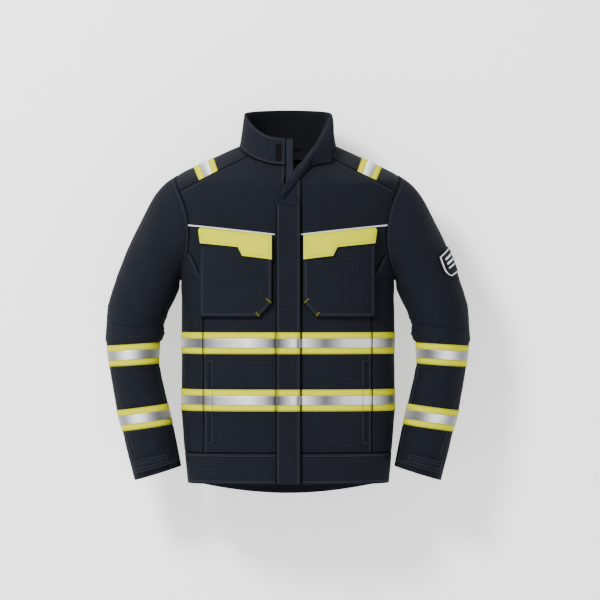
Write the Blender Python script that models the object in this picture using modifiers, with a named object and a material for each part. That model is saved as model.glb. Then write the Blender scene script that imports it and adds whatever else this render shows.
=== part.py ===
"""Turnout coat as it hangs from the loop at the back of its neck.

Sizes are in millimetres and are turned into metres where a mesh is made.
Heights are measured from the lowest point of the back tail, +X is the wearer's left
and the front faces -Y. One empty moves the whole coat so that the loop is the origin.
"""
import math

import bmesh
import bpy
from mathutils import Vector

MM = 0.001
SEAM_GAP = 0.3
TURNING_GAP = 0.5

# Body of the coat
FRONT_HEM = 31.0
HEM_BAND_TOP = 99.0
CHEST_HEIGHT = 640.0
SHOULDER_POINT = 705.0
NECK_SIDE_HEIGHT = 771.0
NECK_FRONT_DROP = 48.0
NECK_BACK_RISE = 6.0
HEM_HALF_WIDTH = 221.0
WAIST_HALF_WIDTH = 233.0
CHEST_HALF_WIDTH = 250.0
BODY_HALF_DEPTH = 115.0
BODY_SQUARENESS = 2.6
NECK_HALF_WIDTH = 104.0
NECK_HALF_DEPTH = 84.0
SHELL_THICKNESS = 1.8
LINER_THICKNESS = 2.4
LINER_DEPTH = 9.0
LINER_BOTTOM = 70.0
BODY_SEGMENTS = 48
LINER_SEGMENTS = 28

# Armhole, an oval seen from the side
ARMHOLE_HEIGHT = 590.0
ARMHOLE_HALF_HEIGHT = 115.0
ARMHOLE_HALF_DEPTH = 75.0
ARMHOLE_CLEARANCE = 1.2

# Seams, as distance from the centre and height
FRONT_EDGE = 6.0
SIDE_SEAM_INSET = 50.0
SIDE_SEAM = WAIST_HALF_WIDTH - SIDE_SEAM_INSET
SIDE_SEAM_TOP = (SIDE_SEAM + 4.0, 487.0)
SIDE_SEAM_ARMHOLE = (213.0, 532.0)
CHEST_SEAM_OUTER = (217.0, 594.0)
CHEST_SEAM_INNER = (27.5, 573.0)
YOKE_SEAM_OUTER = (234.0, 670.0)
YOKE_SEAM_INNER = (84.0, 747.0)
YOKE_SEAM_NECK = (60.0, 759.5)

# Collar
COLLAR_LIFT = 2.4
COLLAR_THICKNESS = 2.6
COLLAR_TOP_HALF_WIDTH = 94.0
COLLAR_TOP_HALF_DEPTH = 76.0
COLLAR_SIDE_TOP = 841.0
COLLAR_BACK_TOP = 852.0
COLLAR_FRONT_TOP = 784.5
COLLAR_DIP = 2.9
COLLAR_FRONT_EDGE = 5.0
LAPEL_FOLD = ((-23.0, 639.0), (-9.0, 674.0), (12.5, 706.0), (63.0, 773.0), (92.0, 838.0))
LAPEL_EDGE = ((-23.0, 638.0), (13.0, 679.0), (50.0, 721.0), (72.0, 724.0), (94.0, 727.0))
LAPEL_THICKNESS = 1.8
LAPEL_CLEARANCE = 3.4
LAPEL_ROLL = 14.0
LAPEL_SETBACK = 4.0
LAPEL_AXIS_OFFSET = (-4.0, -12.0, 0.0)
LAPEL_START = 0.12

# Front closure
ZIP_BOTTOM = 44.0
ZIP_OPEN_HEIGHT = 632.0
TAPE_HALF_WIDTH = 15.0
TAPE_THICKNESS = 0.8
CHAIN_HALF_WIDTH = 2.6
CHAIN_THICKNESS = 2.2
SLIDER_HALF_WIDTH = 4.4
SLIDER_LENGTH = 16.0
SLIDER_THICKNESS = 1.2
SLIDER_TOP = 628.0
STOP_BOX_THICKNESS = 1.5
PULL_LENGTH = 34.0
PULL_HALF_WIDTH = 3.6
PULL_THICKNESS = 1.0
STORM_FLAP_FREE_EDGE = -25.0
STORM_FLAP_SEWN_EDGE = 28.0
STORM_FLAP_TOP = 636.0
STORM_FLAP_STANDOFF = 4.4
STORM_FLAP_THICKNESS = 2.0

# Chest pockets and their flaps
POCKET_INNER = 33.0
POCKET_OUTER = SIDE_SEAM_TOP[0]
POCKET_TOP = 560.0
POCKET_BOTTOM = 394.0
POCKET_CHAMFER_ACROSS = 28.0
POCKET_CHAMFER_UP = 31.0
POCKET_DEPTH = 9.0
POCKET_WALL = 1.2
FLAP_OUTLINE = ((34.0, 519.0), (97.0, 527.0), (106.0, 546.0), (POCKET_OUTER - 2.0, 555.0))
FLAP_BELOW_SEAM = 2.2
FLAP_THICKNESS = 1.6
FLAP_CLEARANCE = 0.8

# Hand pockets
HAND_POCKET_OUTER = SIDE_SEAM - 5.0
HAND_POCKET_INNER = HAND_POCKET_OUTER - 16.0
HAND_POCKET_BOTTOM = 122.0
HAND_POCKET_TOP = 297.0
HAND_BAG_WIDTH = 120.0
HAND_WELT_GAP = 1.5

# Trim
TRIM_THICKNESS = 0.8
TRIM_WIDTH = 47.0
BODY_TRIM_BOTTOMS = {"upper": 314.0, "lower": 190.0}
TRIM_FRONT_END = 29.5
SHOULDER_TRIM_DROP = 4.0
SHOULDER_TRIM = ((207.0, 723.0), (163.0, 744.0), (152.0, 712.0), (193.0, 692.0))

# Sleeves: each station is the inner and the outer side, and the half depth
SLEEVE_PLANE = ((240.0, 455.0), (326.0, 597.0), 76.0)
UPPER_STATIONS = (
    SLEEVE_PLANE,
    ((250.0, 432.0), (353.0, 541.0), 72.0),
    ((261.0, 410.0), (377.0, 481.0), 68.0),
    ((270.0, 385.0), (395.0, 421.0), 64.0),
    ((275.0, 345.0), (401.0, 345.0), 62.0),
)
LOWER_STATIONS = (
    ((275.0, 345.0), (401.0, 345.0), 62.0),
    ((282.0, 338.0), (398.0, 331.0), 61.0),
    ((283.0, 292.0), (393.0, 285.0), 59.0),
    ((264.0, 204.0), (377.0, 189.0), 56.0),
    ((254.0, 159.0), (364.0, 143.0), 54.0),
    ((234.0, 67.0), (337.0, 35.0), 49.0),
)
SLEEVE_TRIM_STATIONS = {"upper": (1, 2), "lower": (3, 4)}
SLEEVE_THICKNESS = 1.8
SLEEVE_LINER_CLEARANCE = 1.2
SLEEVE_LINER_THICKNESS = 1.6
SLEEVE_SEGMENTS = 24
SLEEVE_LINER_SEGMENTS = 16
HEAD_ROWS = 5
CUFF_TAB_FROM = 38.0
CUFF_TAB_TO = 122.0
CUFF_TAB_LOW = 0.74
CUFF_TAB_HIGH = 0.98
CUFF_TAB_THICKNESS = 1.6

# Hanging loop
LOOP_HALF_WIDTH = 32.0
LOOP_TOP = 770.0
LOOP_SAG = 16.0
LOOP_STANDOFF = 7.0
LOOP_RADIUS = 1.6

SIDES = {"right": -1.0, "left": 1.0}


def clear_scene():
    for obj in list(bpy.data.objects):
        bpy.data.objects.remove(obj, do_unlink=True)


clear_scene()
COAT = bpy.data.collections.new("turnout_coat")
CUTTERS = bpy.data.collections.new("cutters")
bpy.context.scene.collection.children.link(COAT)
bpy.context.scene.collection.children.link(CUTTERS)


def finish(name, colour, roughness, metallic=0.0):
    material = bpy.data.materials.new(name)
    material.use_nodes = True
    shader = material.node_tree.nodes["Principled BSDF"]
    shader.inputs["Base Color"].default_value = (*colour, 1.0)
    shader.inputs["Roughness"].default_value = roughness
    shader.inputs["Metallic"].default_value = metallic
    return material


SHELL_CLOTH = finish("shell_cloth", (0.016, 0.019, 0.027), 0.85)
LINING_CLOTH = finish("lining_cloth", (0.03, 0.034, 0.045), 0.9)
YELLOW_CLOTH = finish("yellow_cloth", (0.85, 0.82, 0.03), 0.7)
TRIM_TAPE = finish("trim_tape", (0.6, 0.6, 0.6), 0.35)
WHITE_CORD = finish("white_piping", (0.85, 0.85, 0.85), 0.6)
HOOK_FABRIC = finish("hook_fabric", (0.008, 0.008, 0.008), 0.95)
BRASS = finish("zip_brass", (0.45, 0.36, 0.2), 0.35, 1.0)
BADGE_CLOTH = finish("badge_cloth", (0.02, 0.02, 0.022), 0.8)


def mix(first, second, share):
    return first + (second - first) * share


def along(points, share):
    """The point at this share of an outline whose points are evenly numbered."""
    place = share * (len(points) - 1)
    index = min(int(place), len(points) - 2)
    rest = place - index
    return tuple(mix(a, b, rest) for a, b in zip(points[index], points[index + 1]))


def read_table(table, value):
    for (low, first), (high, second) in zip(table, table[1:]):
        if value <= high:
            share = max(0.0, (value - low) / (high - low))
            return mix(first, second, share)
    return table[-1][1]


# Surfaces ------------------------------------------------------------------

def half_width(height):
    return read_table(
        (
            (FRONT_HEM, HEM_HALF_WIDTH),
            (BODY_TRIM_BOTTOMS["lower"], WAIST_HALF_WIDTH),
            (ARMHOLE_HEIGHT - ARMHOLE_HALF_HEIGHT, WAIST_HALF_WIDTH),
            (ARMHOLE_HEIGHT, CHEST_HALF_WIDTH),
        ),
        height,
    )


def body_ring(angle, width, depth):
    power = 2.0 / BODY_SQUARENESS
    across = math.cos(angle)
    deep = math.sin(angle)
    x = width * math.copysign(abs(across) ** power, across)
    y = depth * math.copysign(abs(deep) ** power, deep)
    return x, y


def neck_height(angle):
    deep = math.sin(angle)
    if deep < 0.0:
        return NECK_SIDE_HEIGHT - NECK_FRONT_DROP * abs(deep) ** 1.2
    return NECK_SIDE_HEIGHT + NECK_BACK_RISE * deep


def shoulder_share(rise):
    """How far a ring has moved in to the neck at this share of the rise from the chest."""
    start = (SHOULDER_POINT - CHEST_HEIGHT) / (NECK_SIDE_HEIGHT - CHEST_HEIGHT)
    softness = 0.12
    ramp = (rise - start) / (1.0 - start)
    low = -start / (1.0 - start)
    foot = 0.5 * (low + math.hypot(low, softness))
    head = 0.5 * (1.0 + math.hypot(1.0, softness))
    return (0.5 * (ramp + math.hypot(ramp, softness)) - foot) / (head - foot)


def body_surface(angle, height):
    """A point of the coat's outer surface. Height is the height at the side of the body."""
    if height <= CHEST_HEIGHT:
        x, y = body_ring(angle, half_width(height), BODY_HALF_DEPTH)
        return Vector((x, y, height - tail_drop(x, y, height)))
    rise = (height - CHEST_HEIGHT) / (NECK_SIDE_HEIGHT - CHEST_HEIGHT)
    x, y = body_ring(angle, CHEST_HALF_WIDTH, BODY_HALF_DEPTH)
    share = shoulder_share(rise)
    x = mix(x, NECK_HALF_WIDTH * math.cos(angle), share)
    y = mix(y, NECK_HALF_DEPTH * math.sin(angle), share)
    return Vector((x, y, mix(CHEST_HEIGHT, neck_height(angle), rise)))


def tail_drop(x, y, height):
    """The back of the hem band reaches lower than the front, most at the middle."""
    if y <= 0.0 or height >= HEM_BAND_TOP:
        return 0.0
    share = (HEM_BAND_TOP - height) / (HEM_BAND_TOP - FRONT_HEM)
    curve = max(0.0, 1.0 - (x / HEM_HALF_WIDTH) ** 2)
    return FRONT_HEM * share * curve


def offset_surface(surface, angle, height, out):
    step = 0.01
    point = surface(angle, height)
    turn = surface(angle + step, height) - surface(angle - step, height)
    rise = surface(angle, height) - surface(angle, height - 0.5)
    normal = turn.cross(rise).normalized()
    return point + normal * out


def body_out(angle, height, out):
    return offset_surface(body_surface, angle, height, out)


def find(function, target, low, high):
    """The value between low and high where a rising function meets the target."""
    for _ in range(28):
        middle = 0.5 * (low + high)
        if function(middle) < target:
            low = middle
        else:
            high = middle
    return 0.5 * (low + high)


def front_place(x, z):
    """The angle and side height at which the front of the coat is at x and z."""

    def angle_for(height):
        return find(lambda turn: body_surface(turn, height).x, abs(x), -math.pi / 2.0, 0.0)

    height = z
    if z > CHEST_HEIGHT:
        height = find(
            lambda guess: body_surface(angle_for(guess), guess).z,
            z,
            CHEST_HEIGHT,
            NECK_SIDE_HEIGHT,
        )
    angle = angle_for(height)
    if x < 0.0:
        angle = -math.pi - angle
    return angle, height


def front_out(x, z, out):
    angle, height = front_place(x, z)
    return body_out(angle, height, out)


def side_x(y, z):
    """How far out the side of the body is at a depth and a height."""
    angle = find(lambda turn: body_surface(turn, side_height(turn, z)).y, abs(y), 0.0, 1.4)
    return body_surface(angle, side_height(angle, z)).x


def side_height(angle, z):
    if z <= CHEST_HEIGHT:
        return z
    rise = (z - CHEST_HEIGHT) / (neck_height(angle) - CHEST_HEIGHT)
    return mix(CHEST_HEIGHT, NECK_SIDE_HEIGHT, min(1.0, rise))


def collar_surface(angle, share):
    """A point of the collar, from its base at share 0 to its top edge at share 1."""
    across = math.cos(angle)
    deep = math.sin(angle)
    if deep < 0.0:
        top = mix(COLLAR_FRONT_TOP, COLLAR_SIDE_TOP, abs(across) ** COLLAR_DIP)
    else:
        top = mix(COLLAR_SIDE_TOP, COLLAR_BACK_TOP, deep)
    width = mix(NECK_HALF_WIDTH, COLLAR_TOP_HALF_WIDTH, share)
    depth = mix(NECK_HALF_DEPTH, COLLAR_TOP_HALF_DEPTH, share)
    base = neck_height(angle) + COLLAR_LIFT
    return Vector((width * across, depth * deep, mix(base, top, share)))


# Mesh makers -----------------------------------------------------------------

ROOT = bpy.data.objects.new("coat_origin", None)
COAT.objects.link(ROOT)


def add_object(name, mesh, material, pivot=None, smooth=True):
    obj = bpy.data.objects.new(name, mesh)
    COAT.objects.link(obj)
    obj.parent = ROOT
    if pivot is not None:
        obj.location = Vector(pivot) * MM
    if material is not None and not mesh.materials:
        mesh.materials.append(material)
    if smooth:
        mesh.shade_smooth()
        mesh.set_sharp_from_angle(angle=math.radians(40.0))
    return obj


def grid_mesh(name, rows, around=False, ring=False, pivot=None):
    """A mesh through rows of points; around joins a row's ends, ring joins the rows' ends."""
    shift = Vector(pivot) if pivot is not None else Vector((0.0, 0.0, 0.0))
    mesh = bpy.data.meshes.new(name)
    shape = bmesh.new()
    grid = [[shape.verts.new((Vector(point) - shift) * MM) for point in row] for row in rows]
    row_count = len(grid) if ring else len(grid) - 1
    column_count = len(grid[0]) if around else len(grid[0]) - 1
    for r in range(row_count):
        low = grid[r]
        high = grid[(r + 1) % len(grid)]
        for c in range(column_count):
            n = (c + 1) % len(low)
            shape.faces.new((low[c], low[n], high[n], high[c]))
    bmesh.ops.recalc_face_normals(shape, faces=shape.faces)
    shape.to_mesh(mesh)
    shape.free()
    return mesh


def solidify(obj, thickness):
    modifier = obj.modifiers.new("thickness", "SOLIDIFY")
    modifier.thickness = thickness * MM
    modifier.offset = 0.0


def sheet(name, rows, thickness, material, pivot=None, around=False):
    """A cloth piece of even thickness whose middle passes through these points."""
    obj = add_object(name, grid_mesh(name, rows, around=around, pivot=pivot), material, pivot)
    solidify(obj, thickness)
    return obj


def tube(name, outer, inner, material, pivot=None):
    """An open sleeve: its outer rings, then its inner rings back to the start."""
    rows = list(outer) + list(reversed(inner))
    mesh = grid_mesh(name, rows, around=True, ring=True, pivot=pivot)
    return add_object(name, mesh, material, pivot)


def inset(outline, distance):
    """The outline with every side moved inward, for the gap at a seam."""
    count = len(outline)
    area = sum(
        outline[i][0] * outline[(i + 1) % count][1] - outline[(i + 1) % count][0] * outline[i][1]
        for i in range(count)
    )
    turn = 1.0 if area > 0.0 else -1.0
    moved = []
    for i in range(count):
        before = Vector(outline[i - 1])
        here = Vector(outline[i])
        after = Vector(outline[(i + 1) % count])
        first = (here - before).normalized()
        second = (after - here).normalized()
        first_in = Vector((-first.y, first.x)) * turn
        second_in = Vector((-second.y, second.x)) * turn
        scale = distance / max(0.2, 1.0 + first_in.dot(second_in))
        moved.append(here + (first_in + second_in) * scale)
    return moved


def make_cutter(name, shape):
    mesh = bpy.data.meshes.new(name)
    shape.normal_update()
    bmesh.ops.recalc_face_normals(shape, faces=shape.faces)
    shape.to_mesh(mesh)
    shape.free()
    obj = bpy.data.objects.new(name, mesh)
    CUTTERS.objects.link(obj)
    obj.parent = ROOT
    obj.hide_render = True
    obj.display_type = "WIRE"
    return obj


def front_view_cutter(name, outline, front, back):
    """A prism whose outline is seen from the front, from one depth to another."""
    shape = bmesh.new()
    corners = [shape.verts.new((x * MM, front * MM, z * MM)) for x, z in outline]
    face = shape.faces.new(corners)
    pushed = bmesh.ops.extrude_face_region(shape, geom=[face])
    moved = [item for item in pushed["geom"] if isinstance(item, bmesh.types.BMVert)]
    bmesh.ops.translate(shape, verts=moved, vec=(0.0, (back - front) * MM, 0.0))
    return make_cutter(name, shape)


def armhole_cutter(name, side, extra):
    shape = bmesh.new()
    bmesh.ops.create_cone(
        shape, cap_ends=True, segments=SLEEVE_SEGMENTS * 2, radius1=1.0, radius2=1.0, depth=1.0
    )
    for vert in shape.verts:
        x = side * (300.0 if vert.co.z > 0.0 else 120.0)
        y = vert.co.x * (ARMHOLE_HALF_DEPTH + extra)
        z = ARMHOLE_HEIGHT + vert.co.y * (ARMHOLE_HALF_HEIGHT + extra)
        vert.co = (x * MM, y * MM, z * MM)
    return make_cutter(name, shape)


def cut(obj, operation, cutter):
    """Cuts with the manifold solver: the exact one loses panels of the thin, twisted shell."""
    modifier = obj.modifiers.new(operation.lower(), "BOOLEAN")
    modifier.operation = operation
    modifier.object = cutter
    modifier.solver = "MANIFOLD"


def mirrored(outline, side):
    return [(side * x, z) for x, z in outline]


FAR_FRONT = -220.0
FAR_BACK = 220.0
HALF_GAP = SEAM_GAP / 2.0
WIDE = 300.0
TALL = 900.0
ARMHOLES = {name: armhole_cutter("armhole_" + name, side, 0.0) for name, side in SIDES.items()}


# Body ------------------------------------------------------------------------

def body_heights():
    trims = []
    for bottom in BODY_TRIM_BOTTOMS.values():
        trims += [bottom, bottom + TRIM_WIDTH]
    straight = [FRONT_HEM, HEM_BAND_TOP, ARMHOLE_HEIGHT - ARMHOLE_HALF_HEIGHT, ARMHOLE_HEIGHT]
    shares = (0.0, 0.3, 0.45, 0.55, 0.7, 0.85, 1.0)
    shoulder = [mix(CHEST_HEIGHT, NECK_SIDE_HEIGHT, share) for share in shares]
    return sorted(straight + [min(trims), max(trims)] + shoulder)


def ring_angles(segments):
    return [2.0 * math.pi * (i + 0.5) / segments for i in range(segments)]


def body_rows(heights, depth, segments):
    return [[body_out(a, h, depth) for a in ring_angles(segments)] for h in heights]


BODY_MESH = grid_mesh(
    "body_shell", body_rows(body_heights(), -SHELL_THICKNESS / 2.0, BODY_SEGMENTS), around=True
)
BODY_MESH.materials.append(SHELL_CLOTH)


def body_panel(name, outline, front, back, armholes):
    """A panel of the shell: what lies inside the outline, less the armholes it meets."""
    obj = add_object(name, BODY_MESH, None)
    solidify(obj, SHELL_THICKNESS)
    cutter = front_view_cutter("cut_" + name, inset(outline, HALF_GAP), front, back)
    cut(obj, "INTERSECT", cutter)
    for side_name in armholes:
        cut(obj, "DIFFERENCE", ARMHOLES[side_name])
    return obj


def chest_seam(x):
    share = (x - CHEST_SEAM_INNER[0]) / (CHEST_SEAM_OUTER[0] - CHEST_SEAM_INNER[0])
    return mix(CHEST_SEAM_INNER[1], CHEST_SEAM_OUTER[1], share)


def yoke_seam(x):
    share = (x - YOKE_SEAM_INNER[0]) / (YOKE_SEAM_OUTER[0] - YOKE_SEAM_INNER[0])
    return mix(YOKE_SEAM_INNER[1], YOKE_SEAM_OUTER[1], share)


def lapel_notch_outline():
    """What the folded lapel leaves open, set back behind the fold."""
    fold = [(x + LAPEL_SETBACK, z) for x, z in LAPEL_FOLD]
    return [*fold, (fold[-1][0], TALL), (-WIDE, TALL), (-WIDE, fold[0][1])]


def make_body():
    front_panel = [
        (FRONT_EDGE, HEM_BAND_TOP),
        (SIDE_SEAM, HEM_BAND_TOP),
        (SIDE_SEAM, SIDE_SEAM_TOP[1]),
        SIDE_SEAM_ARMHOLE,
        (WIDE, SIDE_SEAM_ARMHOLE[1]),
        (WIDE, chest_seam(WIDE)),
        (FRONT_EDGE, chest_seam(FRONT_EDGE)),
    ]
    front_yoke = [
        (FRONT_EDGE, chest_seam(FRONT_EDGE)),
        (WIDE, chest_seam(WIDE)),
        (WIDE, yoke_seam(WIDE)),
        YOKE_SEAM_INNER,
        YOKE_SEAM_NECK,
        (YOKE_SEAM_NECK[0], TALL),
        (FRONT_EDGE, TALL),
    ]
    side_panel = [
        (SIDE_SEAM, HEM_BAND_TOP),
        (WIDE, HEM_BAND_TOP),
        (WIDE, SIDE_SEAM_ARMHOLE[1]),
        SIDE_SEAM_ARMHOLE,
        (SIDE_SEAM, SIDE_SEAM_TOP[1]),
    ]
    shoulder_yoke = [
        (WIDE, yoke_seam(WIDE)),
        YOKE_SEAM_INNER,
        YOKE_SEAM_NECK,
        (YOKE_SEAM_NECK[0], TALL),
        (WIDE, TALL),
    ]
    half_back = [
        (SIDE_SEAM, HEM_BAND_TOP),
        (SIDE_SEAM, SIDE_SEAM_TOP[1]),
        SIDE_SEAM_ARMHOLE,
        (WIDE, SIDE_SEAM_ARMHOLE[1]),
        (WIDE, yoke_seam(WIDE)),
        YOKE_SEAM_INNER,
        YOKE_SEAM_NECK,
        (YOKE_SEAM_NECK[0], TALL),
    ]
    back_panel = half_back + list(reversed(mirrored(half_back, -1.0)))
    lapel_notch = front_view_cutter("lapel_notch", lapel_notch_outline(), FAR_FRONT, 0.0)
    hem_front = [(FRONT_EDGE, -50.0), (WIDE, -50.0), (WIDE, HEM_BAND_TOP), (FRONT_EDGE, HEM_BAND_TOP)]
    for name, side in SIDES.items():
        body_panel("front_panel_" + name, mirrored(front_panel, side), FAR_FRONT, -HALF_GAP, [name])
        yoke = body_panel("front_yoke_" + name, mirrored(front_yoke, side), FAR_FRONT, -HALF_GAP, [name])
        if name == "left":
            cut(yoke, "DIFFERENCE", lapel_notch)
        body_panel("side_panel_" + name, mirrored(side_panel, side), FAR_FRONT, FAR_BACK, [name])
        body_panel("shoulder_yoke_" + name, mirrored(shoulder_yoke, side), FAR_FRONT, FAR_BACK, [name])
        body_panel("hem_band_" + name, mirrored(hem_front, side), FAR_FRONT, -HALF_GAP, [])
    body_panel("back_panel", back_panel, HALF_GAP, FAR_BACK, ["right", "left"])
    hem_back = [(-WIDE, -50.0), (WIDE, -50.0), (WIDE, HEM_BAND_TOP), (-WIDE, HEM_BAND_TOP)]
    body_panel("hem_band_back", hem_back, HALF_GAP, FAR_BACK, [])
    return lapel_notch


def make_liner():
    """Thermal liner and moisture barrier, one loose layer inside the shell."""
    heights = [LINER_BOTTOM, BODY_TRIM_BOTTOMS["lower"], ARMHOLE_HEIGHT - ARMHOLE_HALF_HEIGHT, CHEST_HEIGHT]
    heights += [mix(CHEST_HEIGHT, NECK_SIDE_HEIGHT, share) for share in (0.4, 0.55, 0.72)]
    mesh = grid_mesh("body_liner", body_rows(heights, -LINER_DEPTH, LINER_SEGMENTS), around=True)
    obj = add_object("body_liner", mesh, LINING_CLOTH)
    solidify(obj, LINER_THICKNESS)
    gap = TAPE_HALF_WIDTH + 2.0
    outline = [(-gap, 0.0), (gap, 0.0), (gap, TALL), (-gap, TALL)]
    opening = front_view_cutter("liner_opening", outline, FAR_FRONT, 0.0)
    cut(obj, "DIFFERENCE", opening)
    for name, side in SIDES.items():
        cut(obj, "DIFFERENCE", armhole_cutter("liner_armhole_" + name, side, 3.0))


# Collar ----------------------------------------------------------------------

def make_collar(lapel_notch):
    angles = ring_angles(44)
    rows = [[collar_surface(a, s) for a in angles] for s in (0.0, 0.5, 1.0)]
    mesh = grid_mesh("collar_band", rows, around=True)
    mesh.materials.append(SHELL_CLOTH)
    halves = {}
    for name, side in SIDES.items():
        half = add_object("collar_" + name, mesh, None)
        solidify(half, COLLAR_THICKNESS)
        box = [(side * HALF_GAP, 0.0), (side * WIDE, 0.0), (side * WIDE, TALL), (side * HALF_GAP, TALL)]
        cut(half, "INTERSECT", front_view_cutter("collar_half_" + name, box, FAR_FRONT, FAR_BACK))
        halves[name] = half
    front = [(-COLLAR_FRONT_EDGE, 0.0), (WIDE, 0.0), (WIDE, TALL), (-COLLAR_FRONT_EDGE, TALL)]
    cut(halves["right"], "DIFFERENCE", front_view_cutter("collar_front", front, FAR_FRONT, 0.0))
    cut(halves["left"], "DIFFERENCE", lapel_notch)


def collar_front_out(x, z, out):
    """A point clear of the collar's outer face at x and z, on the front of the collar."""
    share = 0.5
    angle = -math.pi / 4.0
    for _ in range(12):
        width = mix(NECK_HALF_WIDTH, COLLAR_TOP_HALF_WIDTH, share)
        angle = -math.acos(min(0.999, abs(x) / width))
        low = collar_surface(angle, 0.0).z
        high = collar_surface(angle, 1.0).z
        share = min(1.0, max(0.0, (z - low) / (high - low)))
    if x < 0.0:
        angle = -math.pi - angle
    return offset_surface(collar_surface, angle, share, COLLAR_THICKNESS / 2.0 + out)


def coat_front_out(x, z, out):
    neck_angle = -math.acos(min(1.0, abs(x) / NECK_HALF_WIDTH))
    if z > neck_height(neck_angle):
        return collar_front_out(x, z, out)
    return front_out(x, z, out)


def lapel_point(u, v):
    fold_x, fold_z = along(LAPEL_FOLD, u)
    edge_x, edge_z = along(LAPEL_EDGE, u)
    flap_face = STORM_FLAP_STANDOFF + STORM_FLAP_THICKNESS + LAPEL_THICKNESS
    lift = mix(flap_face, LAPEL_CLEARANCE, min(1.0, 2.0 * u))
    fold = coat_front_out(fold_x, fold_z, lift)
    edge = coat_front_out(edge_x, edge_z, lift)
    away = (fold - coat_front_out(fold_x, fold_z, 0.0)) + (edge - coat_front_out(edge_x, edge_z, 0.0))
    roll = LAPEL_ROLL * math.sin(math.pi * v) * u
    return fold.lerp(edge, v) + away.normalized() * roll


def make_lapel():
    across = (0.0, 0.25, 0.5, 0.75, 1.0)
    rows = [[lapel_point(u, v) for v in across] for u in (LAPEL_START, 0.3, 0.45, 0.6, 0.75, 0.88, 1.0)]
    pivot = lapel_point(LAPEL_START, 0.0) + Vector(LAPEL_AXIS_OFFSET)
    sheet("collar_lapel", rows, LAPEL_THICKNESS, SHELL_CLOTH, pivot=pivot)


def make_neck_pieces():
    angles = [math.radians(a) for a in range(40, 141, 10)]
    rows = [
        [body_out(a, mix(CHEST_HEIGHT, NECK_SIDE_HEIGHT, share), -3.4) for a in angles]
        for share in (0.72, 0.86, 0.98)
    ]
    sheet("neck_facing", rows, 1.4, LINING_CLOTH)
    patch_angles = [math.radians(180.0 + a) for a in (76.0, 78.5, 81.0, 83.5)]
    patch = [
        [offset_surface(collar_surface, a, s, COLLAR_THICKNESS / 2.0 + 0.8) for a in patch_angles]
        for s in (0.16, 0.5, 0.8)
    ]
    sheet("collar_hook_patch", patch, 1.0, HOOK_FABRIC)


def make_loop():
    """Hanging loop: a short cord sewn at both ends inside the back of the neck."""
    inside = body_out(math.pi / 2.0, NECK_SIDE_HEIGHT - 4.0, -4.6).y
    curve = bpy.data.curves.new("hanger_loop", "CURVE")
    curve.dimensions = "3D"
    spline = curve.splines.new("POLY")
    steps = 12
    spline.points.add(steps)
    for i in range(steps + 1):
        turn = math.pi * i / steps
        x = -LOOP_HALF_WIDTH * math.cos(turn)
        y = inside - LOOP_RADIUS - LOOP_STANDOFF * math.sin(turn)
        z = LOOP_TOP - LOOP_SAG + LOOP_SAG * math.sin(turn)
        spline.points[i].co = (x * MM, y * MM, z * MM, 1.0)
    curve.bevel_depth = LOOP_RADIUS * MM
    curve.bevel_resolution = 2
    curve.use_fill_caps = True
    curve.materials.append(SHELL_CLOTH)
    obj = bpy.data.objects.new("hanger_loop", curve)
    COAT.objects.link(obj)
    obj.parent = ROOT
    top = Vector((0.0, inside - LOOP_RADIUS - LOOP_STANDOFF, LOOP_TOP))
    ROOT.location = -top * MM


# Front closure -----------------------------------------------------------------

FRONT_FACE = -BODY_HALF_DEPTH


def profile_bar(name, outline, low, high, material, pivot=None):
    """A straight bar along the height whose outline is seen from above."""
    shift = Vector(pivot) if pivot is not None else Vector((0.0, 0.0, 0.0))
    shape = bmesh.new()
    places = [(Vector((x, y, low)) - shift) * MM for x, y in outline]
    corners = [shape.verts.new(place) for place in places]
    face = shape.faces.new(corners)
    pushed = bmesh.ops.extrude_face_region(shape, geom=[face])
    moved = [item for item in pushed["geom"] if isinstance(item, bmesh.types.BMVert)]
    bmesh.ops.translate(shape, verts=moved, vec=(0.0, 0.0, (high - low) * MM))
    bmesh.ops.recalc_face_normals(shape, faces=shape.faces)
    mesh = bpy.data.meshes.new(name)
    shape.to_mesh(mesh)
    shape.free()
    return add_object(name, mesh, material, pivot, smooth=False)


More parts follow.
